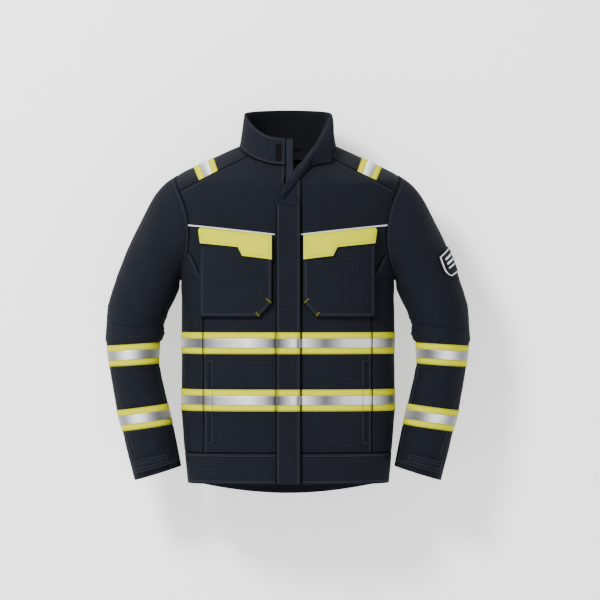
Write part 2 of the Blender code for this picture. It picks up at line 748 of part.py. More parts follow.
def make_zip():
    tape_front = FRONT_FACE + SHELL_THICKNESS + 0.5
    tape_back = tape_front + TAPE_THICKNESS
    chain_front = tape_back - CHAIN_THICKNESS
    for name, side in SIDES.items():
        outline = [
            (side * HALF_GAP, chain_front),
            (side * CHAIN_HALF_WIDTH, chain_front),
            (side * CHAIN_HALF_WIDTH, tape_front),
            (side * TAPE_HALF_WIDTH, tape_front),
            (side * TAPE_HALF_WIDTH, tape_back),
            (side * HALF_GAP, tape_back),
        ]
        profile_bar("zip_tape_" + name, outline, ZIP_BOTTOM, ZIP_OPEN_HEIGHT, BRASS)
    half = CHAIN_HALF_WIDTH + 1.0
    box_front = tape_back + SEAM_GAP
    box_back = box_front + STOP_BOX_THICKNESS
    box = [(-half, box_front), (half, box_front), (half, box_back), (-half, box_back)]
    profile_bar("zip_stop_box", box, ZIP_BOTTOM, ZIP_BOTTOM + 12.0, BRASS)
    back = chain_front - 0.3
    front = back - SLIDER_THICKNESS
    lip = CHAIN_HALF_WIDTH + 0.4
    slider = [
        (-SLIDER_HALF_WIDTH, front),
        (SLIDER_HALF_WIDTH, front),
        (SLIDER_HALF_WIDTH, tape_front - 0.3),
        (lip, tape_front - 0.3),
        (lip, back),
        (-lip, back),
        (-lip, tape_front - 0.3),
        (-SLIDER_HALF_WIDTH, tape_front - 0.3),
    ]
    seat = (0.0, front, SLIDER_TOP - SLIDER_LENGTH)
    profile_bar("zip_slider", slider, SLIDER_TOP - SLIDER_LENGTH, SLIDER_TOP, BRASS, pivot=seat)
    pull_back = front - 0.3
    pull = [
        (-PULL_HALF_WIDTH, pull_back - PULL_THICKNESS),
        (PULL_HALF_WIDTH, pull_back - PULL_THICKNESS),
        (PULL_HALF_WIDTH, pull_back),
        (-PULL_HALF_WIDTH, pull_back),
    ]
    top = SLIDER_TOP - SLIDER_LENGTH / 2.0
    hinge = (0.0, pull_back - PULL_THICKNESS / 2.0, top)
    profile_bar("zip_pull", pull, top - PULL_LENGTH, top, BRASS, pivot=hinge)
    return seat, hinge


def make_storm_flap():
    mid = FRONT_FACE - STORM_FLAP_STANDOFF - STORM_FLAP_THICKNESS / 2.0
    face = mid - STORM_FLAP_THICKNESS / 2.0
    back = mid + STORM_FLAP_THICKNESS / 2.0
    outline = [
        (STORM_FLAP_FREE_EDGE, face),
        (STORM_FLAP_SEWN_EDGE, face),
        (STORM_FLAP_SEWN_EDGE, back),
        (STORM_FLAP_FREE_EDGE, back),
    ]
    pivot = (STORM_FLAP_SEWN_EDGE, face, FRONT_HEM)
    profile_bar("storm_flap", outline, FRONT_HEM, STORM_FLAP_TOP, SHELL_CLOTH, pivot=pivot)
    for name, bottom in BODY_TRIM_BOTTOMS.items():
        strip = [
            (STORM_FLAP_FREE_EDGE, face - SEAM_GAP - TRIM_THICKNESS),
            (STORM_FLAP_SEWN_EDGE, face - SEAM_GAP - TRIM_THICKNESS),
            (STORM_FLAP_SEWN_EDGE, face - SEAM_GAP),
            (STORM_FLAP_FREE_EDGE, face - SEAM_GAP),
        ]
        profile_bar("flap_trim_" + name, strip, bottom, bottom + TRIM_WIDTH, TRIM_TAPE, pivot=pivot)
    return pivot


# Pockets -----------------------------------------------------------------------

def pocket_bottom(x):
    """Lower edge of the pocket, with its inner corner cut off."""
    past = (POCKET_INNER + POCKET_CHAMFER_ACROSS - x) / POCKET_CHAMFER_ACROSS
    return POCKET_BOTTOM + POCKET_CHAMFER_UP * max(0.0, past)


def make_pocket(name, side):
    """Patch pocket with a shallow gusset round its sides and bottom, open at its top."""
    low = 0.4 + POCKET_WALL / 2.0
    high = POCKET_DEPTH
    flare = POCKET_WALL / 2.0
    steps = 9
    xs = [mix(POCKET_INNER + POCKET_WALL, POCKET_OUTER - POCKET_WALL, i / steps) for i in range(steps + 1)]
    xs += [POCKET_INNER + POCKET_CHAMFER_ACROSS, POCKET_OUTER - 5.0, POCKET_OUTER - 10.0]
    xs = sorted(xs)
    foot_xs = [xs[0] - flare, *xs, xs[-1] + flare]

    def point(x, share, out, drop=0.0):
        bottom = pocket_bottom(x) + POCKET_WALL - drop
        return front_out(side * x, mix(bottom, POCKET_TOP, share), out)

    rows = [[point(x, 0.0, low, drop=flare) for x in foot_xs]]
    for share in (0.0, 0.5, 1.0):
        row = [point(x, share, high) for x in xs]
        rows.append([point(foot_xs[0], share, low), *row, point(foot_xs[-1], share, low)])
    sheet("chest_pocket_" + name, rows, POCKET_WALL, SHELL_CLOTH)


def flap_bottom(x):
    for (x0, z0), (x1, z1) in zip(FLAP_OUTLINE, FLAP_OUTLINE[1:]):
        if x <= x1:
            return mix(z0, z1, (x - x0) / (x1 - x0))
    return FLAP_OUTLINE[-1][1]


def make_pocket_flap(name, side):
    rest = POCKET_DEPTH + POCKET_WALL / 2.0 + FLAP_CLEARANCE + FLAP_THICKNESS / 2.0
    top_out = 0.6 + FLAP_THICKNESS / 2.0
    inner, step, riser, outer = [corner[0] for corner in FLAP_OUTLINE]
    xs = [inner, mix(inner, step, 0.5), step, riser]
    xs += [mix(riser, outer, share) for share in (0.33, 0.67, 1.0)]

    def point(x, share):
        top = chest_seam(x) - FLAP_BELOW_SEAM
        out = mix(top_out, rest, min(1.0, share / 0.15))
        return front_out(side * x, mix(top, flap_bottom(x), share), out)

    rows = [[point(x, share) for x in xs] for share in (0.0, 0.15, 0.6, 1.0)]
    run = (rows[0][-1] - rows[0][0]).normalized()
    forward = run.cross(Vector((0.0, 0.0, side))).normalized()
    bulge = max((place - rows[0][0]).dot(forward) for place in rows[0])
    pivot = rows[0][0] + forward * (bulge + FLAP_THICKNESS / 2.0)
    sheet("pocket_flap_" + name, rows, FLAP_THICKNESS, YELLOW_CLOTH, pivot=pivot)
    return pivot, run * -side


def make_piping(name, side):
    xs = [30.0 + 23.0 * i for i in range(9)]
    rows = [
        [front_out(side * x, chest_seam(x) + rise, 1.5) for x in xs]
        for rise in (1.5, 4.0)
    ]
    sheet("chest_piping_" + name, rows, 1.2, WHITE_CORD)


def make_hand_pocket(name, side):
    rows = [
        [front_out(side * mix(HAND_POCKET_INNER, HAND_POCKET_OUTER, i / 4.0), z, 1.0) for i in range(5)]
        for z in (HAND_POCKET_BOTTOM, BODY_TRIM_BOTTOMS["lower"] - HAND_WELT_GAP)
    ]
    sheet("hand_pocket_welt_" + name, rows, 1.2, SHELL_CLOTH)
    bag_inner = HAND_POCKET_OUTER - HAND_BAG_WIDTH
    xs = [mix(bag_inner, HAND_POCKET_OUTER, i / 8.0) for i in range(9)]
    bag = [
        [front_out(side * x, z, -SHELL_THICKNESS - 2.6) for x in xs]
        for z in (HAND_POCKET_BOTTOM - 12.0, HAND_POCKET_TOP - 60.0, HAND_POCKET_TOP + 10.0)
    ]
    sheet("hand_pocket_bag_" + name, bag, 2.4, LINING_CLOTH)


# Trim ----------------------------------------------------------------------------

def make_body_trim():
    """Each band runs round the body from one side of the storm flap to the other."""
    first = front_place(TRIM_FRONT_END, BODY_TRIM_BOTTOMS["upper"])[0]
    last = math.pi - first
    between = [a - 2.0 * math.pi if a > last else a for a in ring_angles(BODY_SEGMENTS)]
    angles = [first, *sorted(a for a in between if first < a < last), last]
    out = SEAM_GAP + TRIM_THICKNESS / 2.0
    for name, bottom in BODY_TRIM_BOTTOMS.items():
        rows = [[body_out(a, z, out) for a in angles] for z in (bottom, bottom + TRIM_WIDTH)]
        sheet("body_trim_" + name, rows, TRIM_THICKNESS, TRIM_TAPE)


def make_shoulder_trim(name, side):
    outer_top, inner_top, inner_low, outer_low = SHOULDER_TRIM
    rows = []
    for v in (0.0, 0.33, 0.66, 1.0):
        row = []
        for u in (0.0, 0.33, 0.66, 1.0):
            top = [mix(a, b, u) for a, b in zip(outer_top, inner_top)]
            low = [mix(a, b, u) for a, b in zip(outer_low, inner_low)]
            x = mix(top[0], low[0], v)
            z = mix(top[1], low[1], v)
            row.append(front_out(side * x, z - SHOULDER_TRIM_DROP, SEAM_GAP + 1.2))
        rows.append(row)
    sheet("shoulder_trim_" + name, rows, TRIM_THICKNESS, TRIM_TAPE)


# Sleeves ---------------------------------------------------------------------------

def station_ring(station, side, out, segments=SLEEVE_SEGMENTS):
    inner, outer, depth = station
    inner = Vector((inner[0], 0.0, inner[1]))
    outer = Vector((outer[0], 0.0, outer[1]))
    centre = (inner + outer) / 2.0
    across = (outer - inner) / 2.0
    half = across.length
    ring = []
    for i in range(segments):
        turn = 2.0 * math.pi * i / segments
        place = centre + across.normalized() * (half + out) * math.cos(turn)
        place.y = (depth + out) * math.sin(turn)
        ring.append(Vector((side * place.x, place.y, place.z)))
    return ring


def shifted(station, move):
    inner, outer, depth = station
    return ((inner[0] + move[0], inner[1] + move[1]), (outer[0] + move[0], outer[1] + move[1]), depth)


def head_ring(share, side, out):
    """A ring between the armhole and the plane where the sleeve turns."""
    back_off = (-SLEEVE_NORMAL.x * TURNING_GAP, -SLEEVE_NORMAL.z * TURNING_GAP)
    end = station_ring(shifted(SLEEVE_PLANE, back_off), 1.0, out)
    ring = []
    for i, target in enumerate(end):
        turn = 2.0 * math.pi * i / SLEEVE_SEGMENTS
        y = (ARMHOLE_HALF_DEPTH - ARMHOLE_CLEARANCE + out) * math.sin(turn)
        z = ARMHOLE_HEIGHT + (ARMHOLE_HALF_HEIGHT - ARMHOLE_CLEARANCE + out) * math.cos(turn)
        start = Vector((side_x(y, z) - SHELL_THICKNESS * 0.5, y, z))
        reach = (target - start).length
        leave = Vector((0.92, 0.0, -0.39)) * reach
        arrive = Vector((0.43, 0.0, -0.9)) * reach
        s = share
        place = start * (2.0 * s**3 - 3.0 * s**2 + 1.0) + leave * (s**3 - 2.0 * s**2 + s)
        place += target * (3.0 * s**2 - 2.0 * s**3) + arrive * (s**3 - s**2)
        ring.append(Vector((side * place.x, place.y, place.z)))
    return ring


def sleeve_normal():
    inner, outer, _ = SLEEVE_PLANE
    across = Vector((outer[0] - inner[0], 0.0, outer[1] - inner[1])).normalized()
    return Vector((across.z, 0.0, -across.x))


SLEEVE_NORMAL = sleeve_normal()


def make_sleeve(name, side):
    thick = SLEEVE_THICKNESS
    shares = [i / (HEAD_ROWS - 1) for i in range(HEAD_ROWS)]
    outer = [head_ring(s, side, 0.0) for s in shares]
    inner = [head_ring(s, side, -thick) for s in shares]
    tube("sleeve_head_" + name, outer, inner, SHELL_CLOTH)
    plane = shifted(SLEEVE_PLANE, (SLEEVE_NORMAL.x * TURNING_GAP, SLEEVE_NORMAL.z * TURNING_GAP))
    upper = [plane, *UPPER_STATIONS[1:-1], shifted(UPPER_STATIONS[-1], (0.0, TURNING_GAP))]
    lower = [shifted(LOWER_STATIONS[0], (0.0, -TURNING_GAP)), *LOWER_STATIONS[1:]]
    centre = Vector((side * (plane[0][0] + plane[1][0]) / 2.0, 0.0, (plane[0][1] + plane[1][1]) / 2.0))
    elbow_station = LOWER_STATIONS[0]
    elbow_x = (elbow_station[0][0] + elbow_station[1][0]) / 2.0
    elbow = Vector((side * elbow_x, -elbow_station[2], elbow_station[0][1]))
    lengths = {"upper": (upper, centre), "lower": (lower, elbow)}
    for length, (stations, pivot) in lengths.items():
        rings = [station_ring(s, side, 0.0) for s in stations]
        inner = [station_ring(s, side, -thick) for s in stations]
        tube("sleeve_" + length + "_" + name, rings, inner, SHELL_CLOTH, pivot=pivot)
        depth = -thick - SLEEVE_LINER_CLEARANCE
        rings = [station_ring(s, side, depth, SLEEVE_LINER_SEGMENTS) for s in stations]
        inner_depth = depth - SLEEVE_LINER_THICKNESS
        inner = [station_ring(s, side, inner_depth, SLEEVE_LINER_SEGMENTS) for s in stations]
        tube("sleeve_liner_" + length + "_" + name, rings, inner, LINING_CLOTH, pivot=pivot)
    for trim, (first, last) in SLEEVE_TRIM_STATIONS.items():
        stations = LOWER_STATIONS[first : last + 1]
        rings = [station_ring(s, side, SEAM_GAP + TRIM_THICKNESS) for s in stations]
        inner = [station_ring(s, side, SEAM_GAP) for s in stations]
        tube("sleeve_trim_" + trim + "_" + name, rings, inner, TRIM_TAPE, pivot=elbow)
    return centre, elbow


def mix_station(first, second, share):
    inner = tuple(mix(a, b, share) for a, b in zip(first[0], second[0]))
    outer = tuple(mix(a, b, share) for a, b in zip(first[1], second[1]))
    return (inner, outer, mix(first[2], second[2], share))


def sleeve_point(first, second, share, turn, side, out):
    """A point on the sleeve between two stations; turn 0 is the outer side, 90 the front."""
    inner, outer, depth = mix_station(first, second, share)
    inner = Vector((inner[0], 0.0, inner[1]))
    outer = Vector((outer[0], 0.0, outer[1]))
    across = (outer - inner) / 2.0
    place = (inner + outer) / 2.0 + across.normalized() * (across.length + out) * math.cos(turn)
    return Vector((side * place.x, -(depth + out) * math.sin(turn), place.z))


def make_cuff(name, side, elbow):
    first, second = LOWER_STATIONS[-2:]
    turns = [math.radians(mix(CUFF_TAB_FROM, CUFF_TAB_TO, i / 6.0)) for i in range(7)]
    tab_out = SEAM_GAP + 1.6 + CUFF_TAB_THICKNESS / 2.0
    rows = [
        [sleeve_point(first, second, share, turn, side, tab_out) for turn in turns]
        for share in (0.66, 0.9)
    ]
    pivot = sleeve_point(first, second, 0.66, turns[0], side, tab_out)
    far = sleeve_point(first, second, 0.9, turns[0], side, tab_out)
    sheet("cuff_tab_" + name, rows, CUFF_TAB_THICKNESS, SHELL_CLOTH, pivot=pivot)
    patch_turns = [math.radians(a) for a in (80.0, 92.0, 104.0, 116.0)]
    patch = [
        [sleeve_point(first, second, share, turn, side, SEAM_GAP + 0.5) for turn in patch_turns]
        for share in (0.68, 0.88)
    ]
    sheet("cuff_loop_patch_" + name, patch, 0.8, HOOK_FABRIC, pivot=elbow)
    return pivot, far


def make_badge(pivot):
    first, second = UPPER_STATIONS[1:3]
    third = UPPER_STATIONS[3]
    rows = []
    for wide, low in ((26.0, 0.0), (22.0, 0.55), (6.0, 1.0)):
        row = []
        for u in (-1.0, -0.5, 0.0, 0.5, 1.0):
            turn = math.radians(28.0 + wide * u)
            if low < 0.5:
                row.append(sleeve_point(first, second, mix(0.3, 1.0, low * 2.0), turn, 1.0, SEAM_GAP + 2.0))
            else:
                row.append(sleeve_point(second, third, (low - 0.5) * 1.2, turn, 1.0, SEAM_GAP + 2.0))
        rows.append(row)
    sheet("sleeve_badge", rows, 1.0, BADGE_CLOTH, pivot=pivot)


def main():
    lapel_notch = make_body()
    make_liner()
    make_collar(lapel_notch)
    make_lapel()
    make_neck_pieces()
    make_loop()
    make_zip()
    make_storm_flap()
    make_body_trim()
    for name, side in SIDES.items():
        make_pocket(name, side)
        make_pocket_flap(name, side)
        make_piping(name, side)
        make_hand_pocket(name, side)
        make_shoulder_trim(name, side)
        shoulder, elbow = make_sleeve(name, side)
        make_cuff(name, side, elbow)
        if name == "left":
            make_badge(shoulder)


main()
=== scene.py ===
"""Turnout coat: the sewn cloth, thread, trim, zip and light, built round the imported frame."""
import math

import bmesh
import bpy
import numpy as np
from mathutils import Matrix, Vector, noise


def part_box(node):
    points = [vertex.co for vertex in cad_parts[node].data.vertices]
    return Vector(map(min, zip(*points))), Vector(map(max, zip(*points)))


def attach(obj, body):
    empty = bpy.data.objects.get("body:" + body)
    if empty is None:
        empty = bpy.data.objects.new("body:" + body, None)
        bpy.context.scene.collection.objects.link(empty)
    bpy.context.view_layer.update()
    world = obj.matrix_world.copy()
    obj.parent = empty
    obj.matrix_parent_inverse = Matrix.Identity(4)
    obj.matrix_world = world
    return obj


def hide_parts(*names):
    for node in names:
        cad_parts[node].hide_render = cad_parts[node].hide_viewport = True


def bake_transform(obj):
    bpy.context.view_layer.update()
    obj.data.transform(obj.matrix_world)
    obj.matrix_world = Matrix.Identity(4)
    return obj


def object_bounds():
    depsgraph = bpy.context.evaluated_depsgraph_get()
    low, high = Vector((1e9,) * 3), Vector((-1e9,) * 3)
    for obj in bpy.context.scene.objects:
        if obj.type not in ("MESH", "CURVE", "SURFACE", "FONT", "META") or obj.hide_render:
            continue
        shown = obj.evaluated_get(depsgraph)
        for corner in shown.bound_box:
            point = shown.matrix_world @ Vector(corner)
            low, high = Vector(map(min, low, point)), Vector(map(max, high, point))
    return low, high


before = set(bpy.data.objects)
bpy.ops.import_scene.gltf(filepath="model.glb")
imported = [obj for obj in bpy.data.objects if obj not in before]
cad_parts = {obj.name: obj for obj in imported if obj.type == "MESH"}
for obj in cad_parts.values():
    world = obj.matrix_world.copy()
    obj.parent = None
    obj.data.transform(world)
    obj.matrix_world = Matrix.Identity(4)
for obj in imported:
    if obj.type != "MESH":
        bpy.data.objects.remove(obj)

CAD_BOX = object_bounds()
MM = 0.001
SIDES = {"right": -1.0, "left": 1.0}


def corner(node, end):
    """One corner of a frame node's box, in metres: end 0 is the lowest, 1 the highest."""
    return Vector(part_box(node)[end])


# Places in the frame ---------------------------------------------------------
# The coat is drawn in millimetres from the middle of its hem and moved to the frame.

FRONT_HEM = 31.0
BODY_MIDDLE = (corner("back_panel", 1).y + corner("front_panel_left", 0).y) / 2.0
ORIGIN = Vector((0.0, BODY_MIDDLE, corner("storm_flap", 0).z - FRONT_HEM * MM))


def height_of(node, end):
    return (corner(node, end).z - ORIGIN.z) / MM


def width_of(node):
    return corner(node, 1).x / MM


HEM_BAND_TOP = height_of("hem_band_left", 1)
BODY_HALF_DEPTH = (corner("back_panel", 1).y - corner("front_panel_left", 0).y) / 2.0 / MM
HEM_HALF_WIDTH = 221.0
WAIST_HALF_WIDTH = width_of("side_panel_left")
CHEST_HALF_WIDTH = 250.0
CHEST_HEIGHT = 640.0
SHOULDER_POINT = 705.0
NECK_SIDE_HEIGHT = 771.0
NECK_FRONT_DROP = 48.0
NECK_BACK_RISE = 6.0
NECK_HALF_WIDTH = 104.0
NECK_HALF_DEPTH = 84.0
BODY_SQUARENESS = 2.6
ARMHOLE_HEIGHT = 590.0
ARMHOLE_HALF_HEIGHT = 115.0
ARMHOLE_HALF_DEPTH = 75.0
COLLAR_TOP_HALF_WIDTH = 94.0
COLLAR_TOP_HALF_DEPTH = 76.0
COLLAR_SIDE_TOP = 841.0
COLLAR_BACK_TOP = 852.0
COLLAR_FRONT_TOP = 784.5
COLLAR_DIP = 2.9
COLLAR_LIFT = 1.0
FRONT_EDGE = 6.0
SIDE_SEAM = 183.0
SIDE_SEAM_TOP = 487.0
SIDE_SEAM_ARMHOLE = (213.0, 532.0)
CHEST_SEAM = ((27.5, 573.0), (217.0, 594.0))
YOKE_SEAM = ((84.0, 747.0), (234.0, 670.0))
YOKE_SEAM_NECK = (60.0, 759.5)
LAPEL_FOLD = ((-23.0, 639.0), (-9.0, 674.0), (12.5, 706.0), (38.0, 740.0), (63.0, 773.0), (80.0, 808.0),
              (92.0, 839.0))
LAPEL_EDGE = ((-23.0, 638.0), (4.0, 668.0), (28.0, 696.0), (50.0, 720.0), (66.0, 724.0), (80.0, 726.0),
              (95.0, 727.0))
TRIM_WIDTH = 47.0
SILVER_WIDTH = 19.5
TRIM_BOTTOMS = {"upper": height_of("body_trim_upper", 0), "lower": height_of("body_trim_lower", 0)}
SLEEVE_PLANE = ((240.0, 455.0), (326.0, 597.0), 76.0)
SLEEVE_STATIONS = (
    SLEEVE_PLANE,
    ((250.0, 432.0), (353.0, 541.0), 72.0),
    ((261.0, 410.0), (377.0, 481.0), 68.0),
    ((270.0, 385.0), (395.0, 421.0), 64.0),
    ((275.0, 345.0), (401.0, 345.0), 62.0),
    ((282.0, 338.0), (398.0, 331.0), 61.0),
    ((283.0, 292.0), (393.0, 285.0), 59.0),
    ((264.0, 204.0), (377.0, 189.0), 56.0),
    ((254.0, 159.0), (364.0, 143.0), 54.0),
    ((234.0, 67.0), (337.0, 35.0), 49.0),
)


def place(points):
    """Millimetres of the coat to metres of the frame."""
    return np.asarray(points, float) * MM + np.array(ORIGIN)


# Surfaces --------------------------------------------------------------------

def half_width(height):
    stops = (FRONT_HEM, TRIM_BOTTOMS["lower"], ARMHOLE_HEIGHT - ARMHOLE_HALF_HEIGHT, ARMHOLE_HEIGHT)
    return np.interp(height, stops, (HEM_HALF_WIDTH, WAIST_HALF_WIDTH, WAIST_HALF_WIDTH, CHEST_HALF_WIDTH))


def signed_power(value, power):
    return np.sign(value) * np.abs(value) ** power


def neck_height(angle):
    deep = np.sin(angle)
    front = NECK_SIDE_HEIGHT - NECK_FRONT_DROP * np.abs(deep) ** 1.2
    return np.where(deep < 0.0, front, NECK_SIDE_HEIGHT + NECK_BACK_RISE * deep)


def shoulder_share(rise):
    start = (SHOULDER_POINT - CHEST_HEIGHT) / (NECK_SIDE_HEIGHT - CHEST_HEIGHT)
    softness = 0.12
    ramp = (rise - start) / (1.0 - start)
    low = -start / (1.0 - start)
    foot = 0.5 * (low + math.hypot(low, softness))
    head = 0.5 * (1.0 + math.hypot(1.0, softness))
    return (0.5 * (ramp + np.hypot(ramp, softness)) - foot) / (head - foot)


def body_surface(angle, height):
    angle, height = np.broadcast_arrays(np.asarray(angle, float), np.asarray(height, float))
    power = 2.0 / BODY_SQUARENESS
    low = np.minimum(height, CHEST_HEIGHT)
    x = half_width(low) * signed_power(np.cos(angle), power)
    y = BODY_HALF_DEPTH * signed_power(np.sin(angle), power)
    drop_share = np.clip((HEM_BAND_TOP - height) / (HEM_BAND_TOP - FRONT_HEM), 0.0, 1.0)
    tail = np.clip(1.0 - (x / HEM_HALF_WIDTH) ** 2, 0.0, 1.0)
    drop = np.where(y > 0.0, FRONT_HEM * drop_share * tail, 0.0)
    rise = np.clip((height - CHEST_HEIGHT) / (NECK_SIDE_HEIGHT - CHEST_HEIGHT), 0.0, 1.0)
    share = np.where(rise > 0.0, shoulder_share(rise), 0.0)
    x = x + (NECK_HALF_WIDTH * np.cos(angle) - x) * share
    y = y + (NECK_HALF_DEPTH * np.sin(angle) - y) * share
    z = np.where(rise > 0.0, CHEST_HEIGHT + (neck_height(angle) - CHEST_HEIGHT) * rise, height - drop)
    return np.stack([x, y, z], axis=-1)


def collar_surface(angle, share):
    angle, share = np.broadcast_arrays(np.asarray(angle, float), np.asarray(share, float))
    across = np.cos(angle)
    deep = np.sin(angle)
    front = COLLAR_FRONT_TOP + (COLLAR_SIDE_TOP - COLLAR_FRONT_TOP) * np.abs(across) ** COLLAR_DIP
    top = np.where(deep < 0.0, front, COLLAR_SIDE_TOP + (COLLAR_BACK_TOP - COLLAR_SIDE_TOP) * deep)
    width = NECK_HALF_WIDTH + (COLLAR_TOP_HALF_WIDTH - NECK_HALF_WIDTH) * share
    depth = NECK_HALF_DEPTH + (COLLAR_TOP_HALF_DEPTH - NECK_HALF_DEPTH) * share
    base = neck_height(angle) + COLLAR_LIFT
    return np.stack([width * across, depth * deep, base + (top - base) * share], axis=-1)


def normals_of(surface, first, second, step_first=0.01, step_second=0.5):
    turn = surface(first + step_first, second) - surface(first - step_first, second)
    rise = surface(first, second) - surface(first, second - step_second)
    normal = np.cross(turn, rise)
    return normal / np.linalg.norm(normal, axis=-1, keepdims=True)


def soft_noise(points, scale, stretch=(1.0, 1.0, 1.0), seed=0.0):
    """Smooth noise at each point, the same in every run."""
    flat = (np.asarray(points) * scale * np.array(stretch) + seed).reshape(-1, 3)
    values = np.array([noise.noise(Vector(p)) for p in flat])
    return values.reshape(np.asarray(points).shape[:-1])


def distance_to_line(across, up, line):
    """Distance in the front view from points to a line of points, on either half."""
    best = np.full(np.shape(across), 1e9)
    for (x0, z0), (x1, z1) in zip(line, line[1:]):
        length = (x1 - x0) ** 2 + (z1 - z0) ** 2
        share = np.clip(((across - x0) * (x1 - x0) + (up - z0) * (z1 - z0)) / length, 0.0, 1.0)
        gap = np.hypot(across - x0 - share * (x1 - x0), up - z0 - share * (z1 - z0))
        best = np.minimum(best, gap)
    return best


BODY_SEAMS = (
    ((0.0, HEM_BAND_TOP), (260.0, HEM_BAND_TOP)),
    ((SIDE_SEAM, HEM_BAND_TOP), (SIDE_SEAM, SIDE_SEAM_TOP), SIDE_SEAM_ARMHOLE),
    ((234.0, 670.0), (84.0, 747.0), YOKE_SEAM_NECK),
)


def drape(points):
    """How far the hanging cloth stands out of or falls in from its smooth shape."""
    x = points[..., 0]
    y = points[..., 1]
    z = points[..., 2]
    long_folds = soft_noise(points, 0.011, (1.0, 1.0, 0.32), 3.1) * 3.0
    small_folds = soft_noise(points, 0.03, (1.0, 1.0, 0.6), 9.7) * 0.8
    lower = np.clip((CHEST_HEIGHT - z) / 300.0, 0.25, 1.0)
    side = np.clip((np.abs(x) - 120.0) / 100.0, 0.0, 1.0)
    arm_pull = np.exp(-(((np.abs(x) - 200.0) / 40.0) ** 2) - ((z - 470.0) / 60.0) ** 2)
    pull = arm_pull * np.sin((z - 0.7 * np.abs(x)) / 9.0) * 1.1
    calm = 1.0 - 0.6 * np.exp(-((x / 60.0) ** 2)) * (y < 0.0)
    return np.clip((long_folds * lower * (0.45 + 0.75 * side) + small_folds + pull) * calm, -2.2, 2.8)


def seam_dip(points):
    across = np.abs(points[..., 0])
    up = points[..., 2]
    dip = np.zeros(across.shape)
    for line in BODY_SEAMS:
        dip = np.maximum(dip, np.exp(-((distance_to_line(across, up, line) / 2.2) ** 2)))
    chest = distance_to_line(across, up, CHEST_SEAM)
    dip = np.maximum(dip, np.exp(-((chest / 2.2) ** 2)) * (points[..., 1] < 0.0))
    return dip


def body_out(angle, height, out, seams=False):
    angle, height = np.broadcast_arrays(np.asarray(angle, float), np.asarray(height, float))
    points = body_surface(angle, height)
    lift = drape(points) + out
    if seams:
        lift = lift - 0.9 * seam_dip(points)
    return points + normals_of(body_surface, angle, height) * lift[..., None]


def bisect(function, target, low, high, turns=26):
    low = np.full(np.shape(target), low, float)
    high = np.full(np.shape(target), high, float)
    for _ in range(turns):
        middle = 0.5 * (low + high)
        below = function(middle) < target
        low = np.where(below, middle, low)
        high = np.where(below, high, middle)
    return 0.5 * (low + high)


def front_place(x, z):
    """The angle and side height where the front of the coat is at x and z."""
    x, z = np.broadcast_arrays(np.asarray(x, float), np.asarray(z, float))

    def angle_for(height):
        return bisect(lambda a: body_surface(a, height)[..., 0], np.abs(x), -math.pi / 2.0, 0.0)

    height = z.copy()
    high = z > CHEST_HEIGHT
    if high.any():
        found = bisect(
            lambda h: body_surface(angle_for(h), h)[..., 2], z, CHEST_HEIGHT, NECK_SIDE_HEIGHT, 20
        )
        height = np.where(high, found, height)
    angle = angle_for(height)
    return np.where(x < 0.0, -math.pi - angle, angle), height


def front_out(x, z, out):
    angle, height = front_place(x, z)
    return body_out(angle, height, out)


def stations_at(share):
    """The sleeve's section at a share of the way from its turning plane to its cuff."""
    table = np.array([[s[0][0], s[0][1], s[1][0], s[1][1], s[2]] for s in SLEEVE_STATIONS])
    middles = (table[:, :2] + table[:, 2:4]) / 2.0
    steps = np.concatenate([[0.0], np.cumsum(np.linalg.norm(np.diff(middles, axis=0), axis=1))])
    steps = steps / steps[-1]
    return [np.interp(share, steps, table[:, i]) for i in range(5)]


def station_share(index):
    table = np.array([[s[0][0], s[0][1], s[1][0], s[1][1]] for s in SLEEVE_STATIONS])
    middles = (table[:, :2] + table[:, 2:4]) / 2.0
    steps = np.concatenate([[0.0], np.cumsum(np.linalg.norm(np.diff(middles, axis=0), axis=1))])
    return steps[index] / steps[-1]


ELBOW_SHARE = station_share(4)


def sleeve_base(share, turn, out):
    """A point of a left sleeve. Turn 0 is its outer side and a quarter turn its front."""
    inner_x, inner_z, outer_x, outer_z, depth = stations_at(share)
    across_x = (outer_x - inner_x) / 2.0
    across_z = (outer_z - inner_z) / 2.0
    half = np.hypot(across_x, across_z)
    reach = (half + out) * np.cos(turn) / half
    x = (inner_x + outer_x) / 2.0 + across_x * reach
    z = (inner_z + outer_z) / 2.0 + across_z * reach
    y = -(depth + out) * np.sin(turn)
    return np.stack(np.broadcast_arrays(x, y, z), axis=-1)


def sleeve_folds(share, turn):
    """Creases of a worn sleeve: fans from the inner elbow and a few along its length."""
    points = sleeve_base(share, turn, 0.0)
    front = np.clip(np.sin(turn), 0.0, 1.0)
    inner = np.clip(-np.cos(turn), -0.2, 1.0)
    near = np.exp(-(((share - ELBOW_SHARE + 0.02) / 0.13) ** 2))
    slant = (share - ELBOW_SHARE) * 58.0 + 2.2 * np.cos(turn) * np.sign(share - ELBOW_SHARE + 0.001)
    crease = (np.cos(slant) ** 3) * near * (0.35 + 0.65 * inner) * (0.5 + 0.5 * front)
    back = np.cos((share - ELBOW_SHARE) * 80.0) * near * np.clip(-np.sin(turn), 0.0, 1.0) * 0.6
    slow = soft_noise(points, 0.014, (1.0, 1.0, 0.6), 21.0) * 2.4
    fine = soft_noise(points, 0.035, (1.0, 1.0, 1.0), 5.0) * 0.7
    cuff = np.clip((1.0 - share) / 0.12, 0.15, 1.0)
    return np.clip((crease * 5.2 + back * 2.4 + slow + fine) * cuff, -5.0, 3.4)


def sleeve_out(share, turn, side, out):
    share, turn = np.broadcast_arrays(np.asarray(share, float), np.asarray(turn, float))
    trim_calm = np.ones(share.shape)
    for first, last in ((5, 6), (7, 8)):
        inside = (share > station_share(first) - 0.012) & (share < station_share(last) + 0.012)
        trim_calm = np.where(inside, 0.45, trim_calm)
    points = sleeve_base(share, turn, out + sleeve_folds(share, turn) * trim_calm)
    points[..., 0] *= side
    return points


# Mesh building ---------------------------------------------------------------

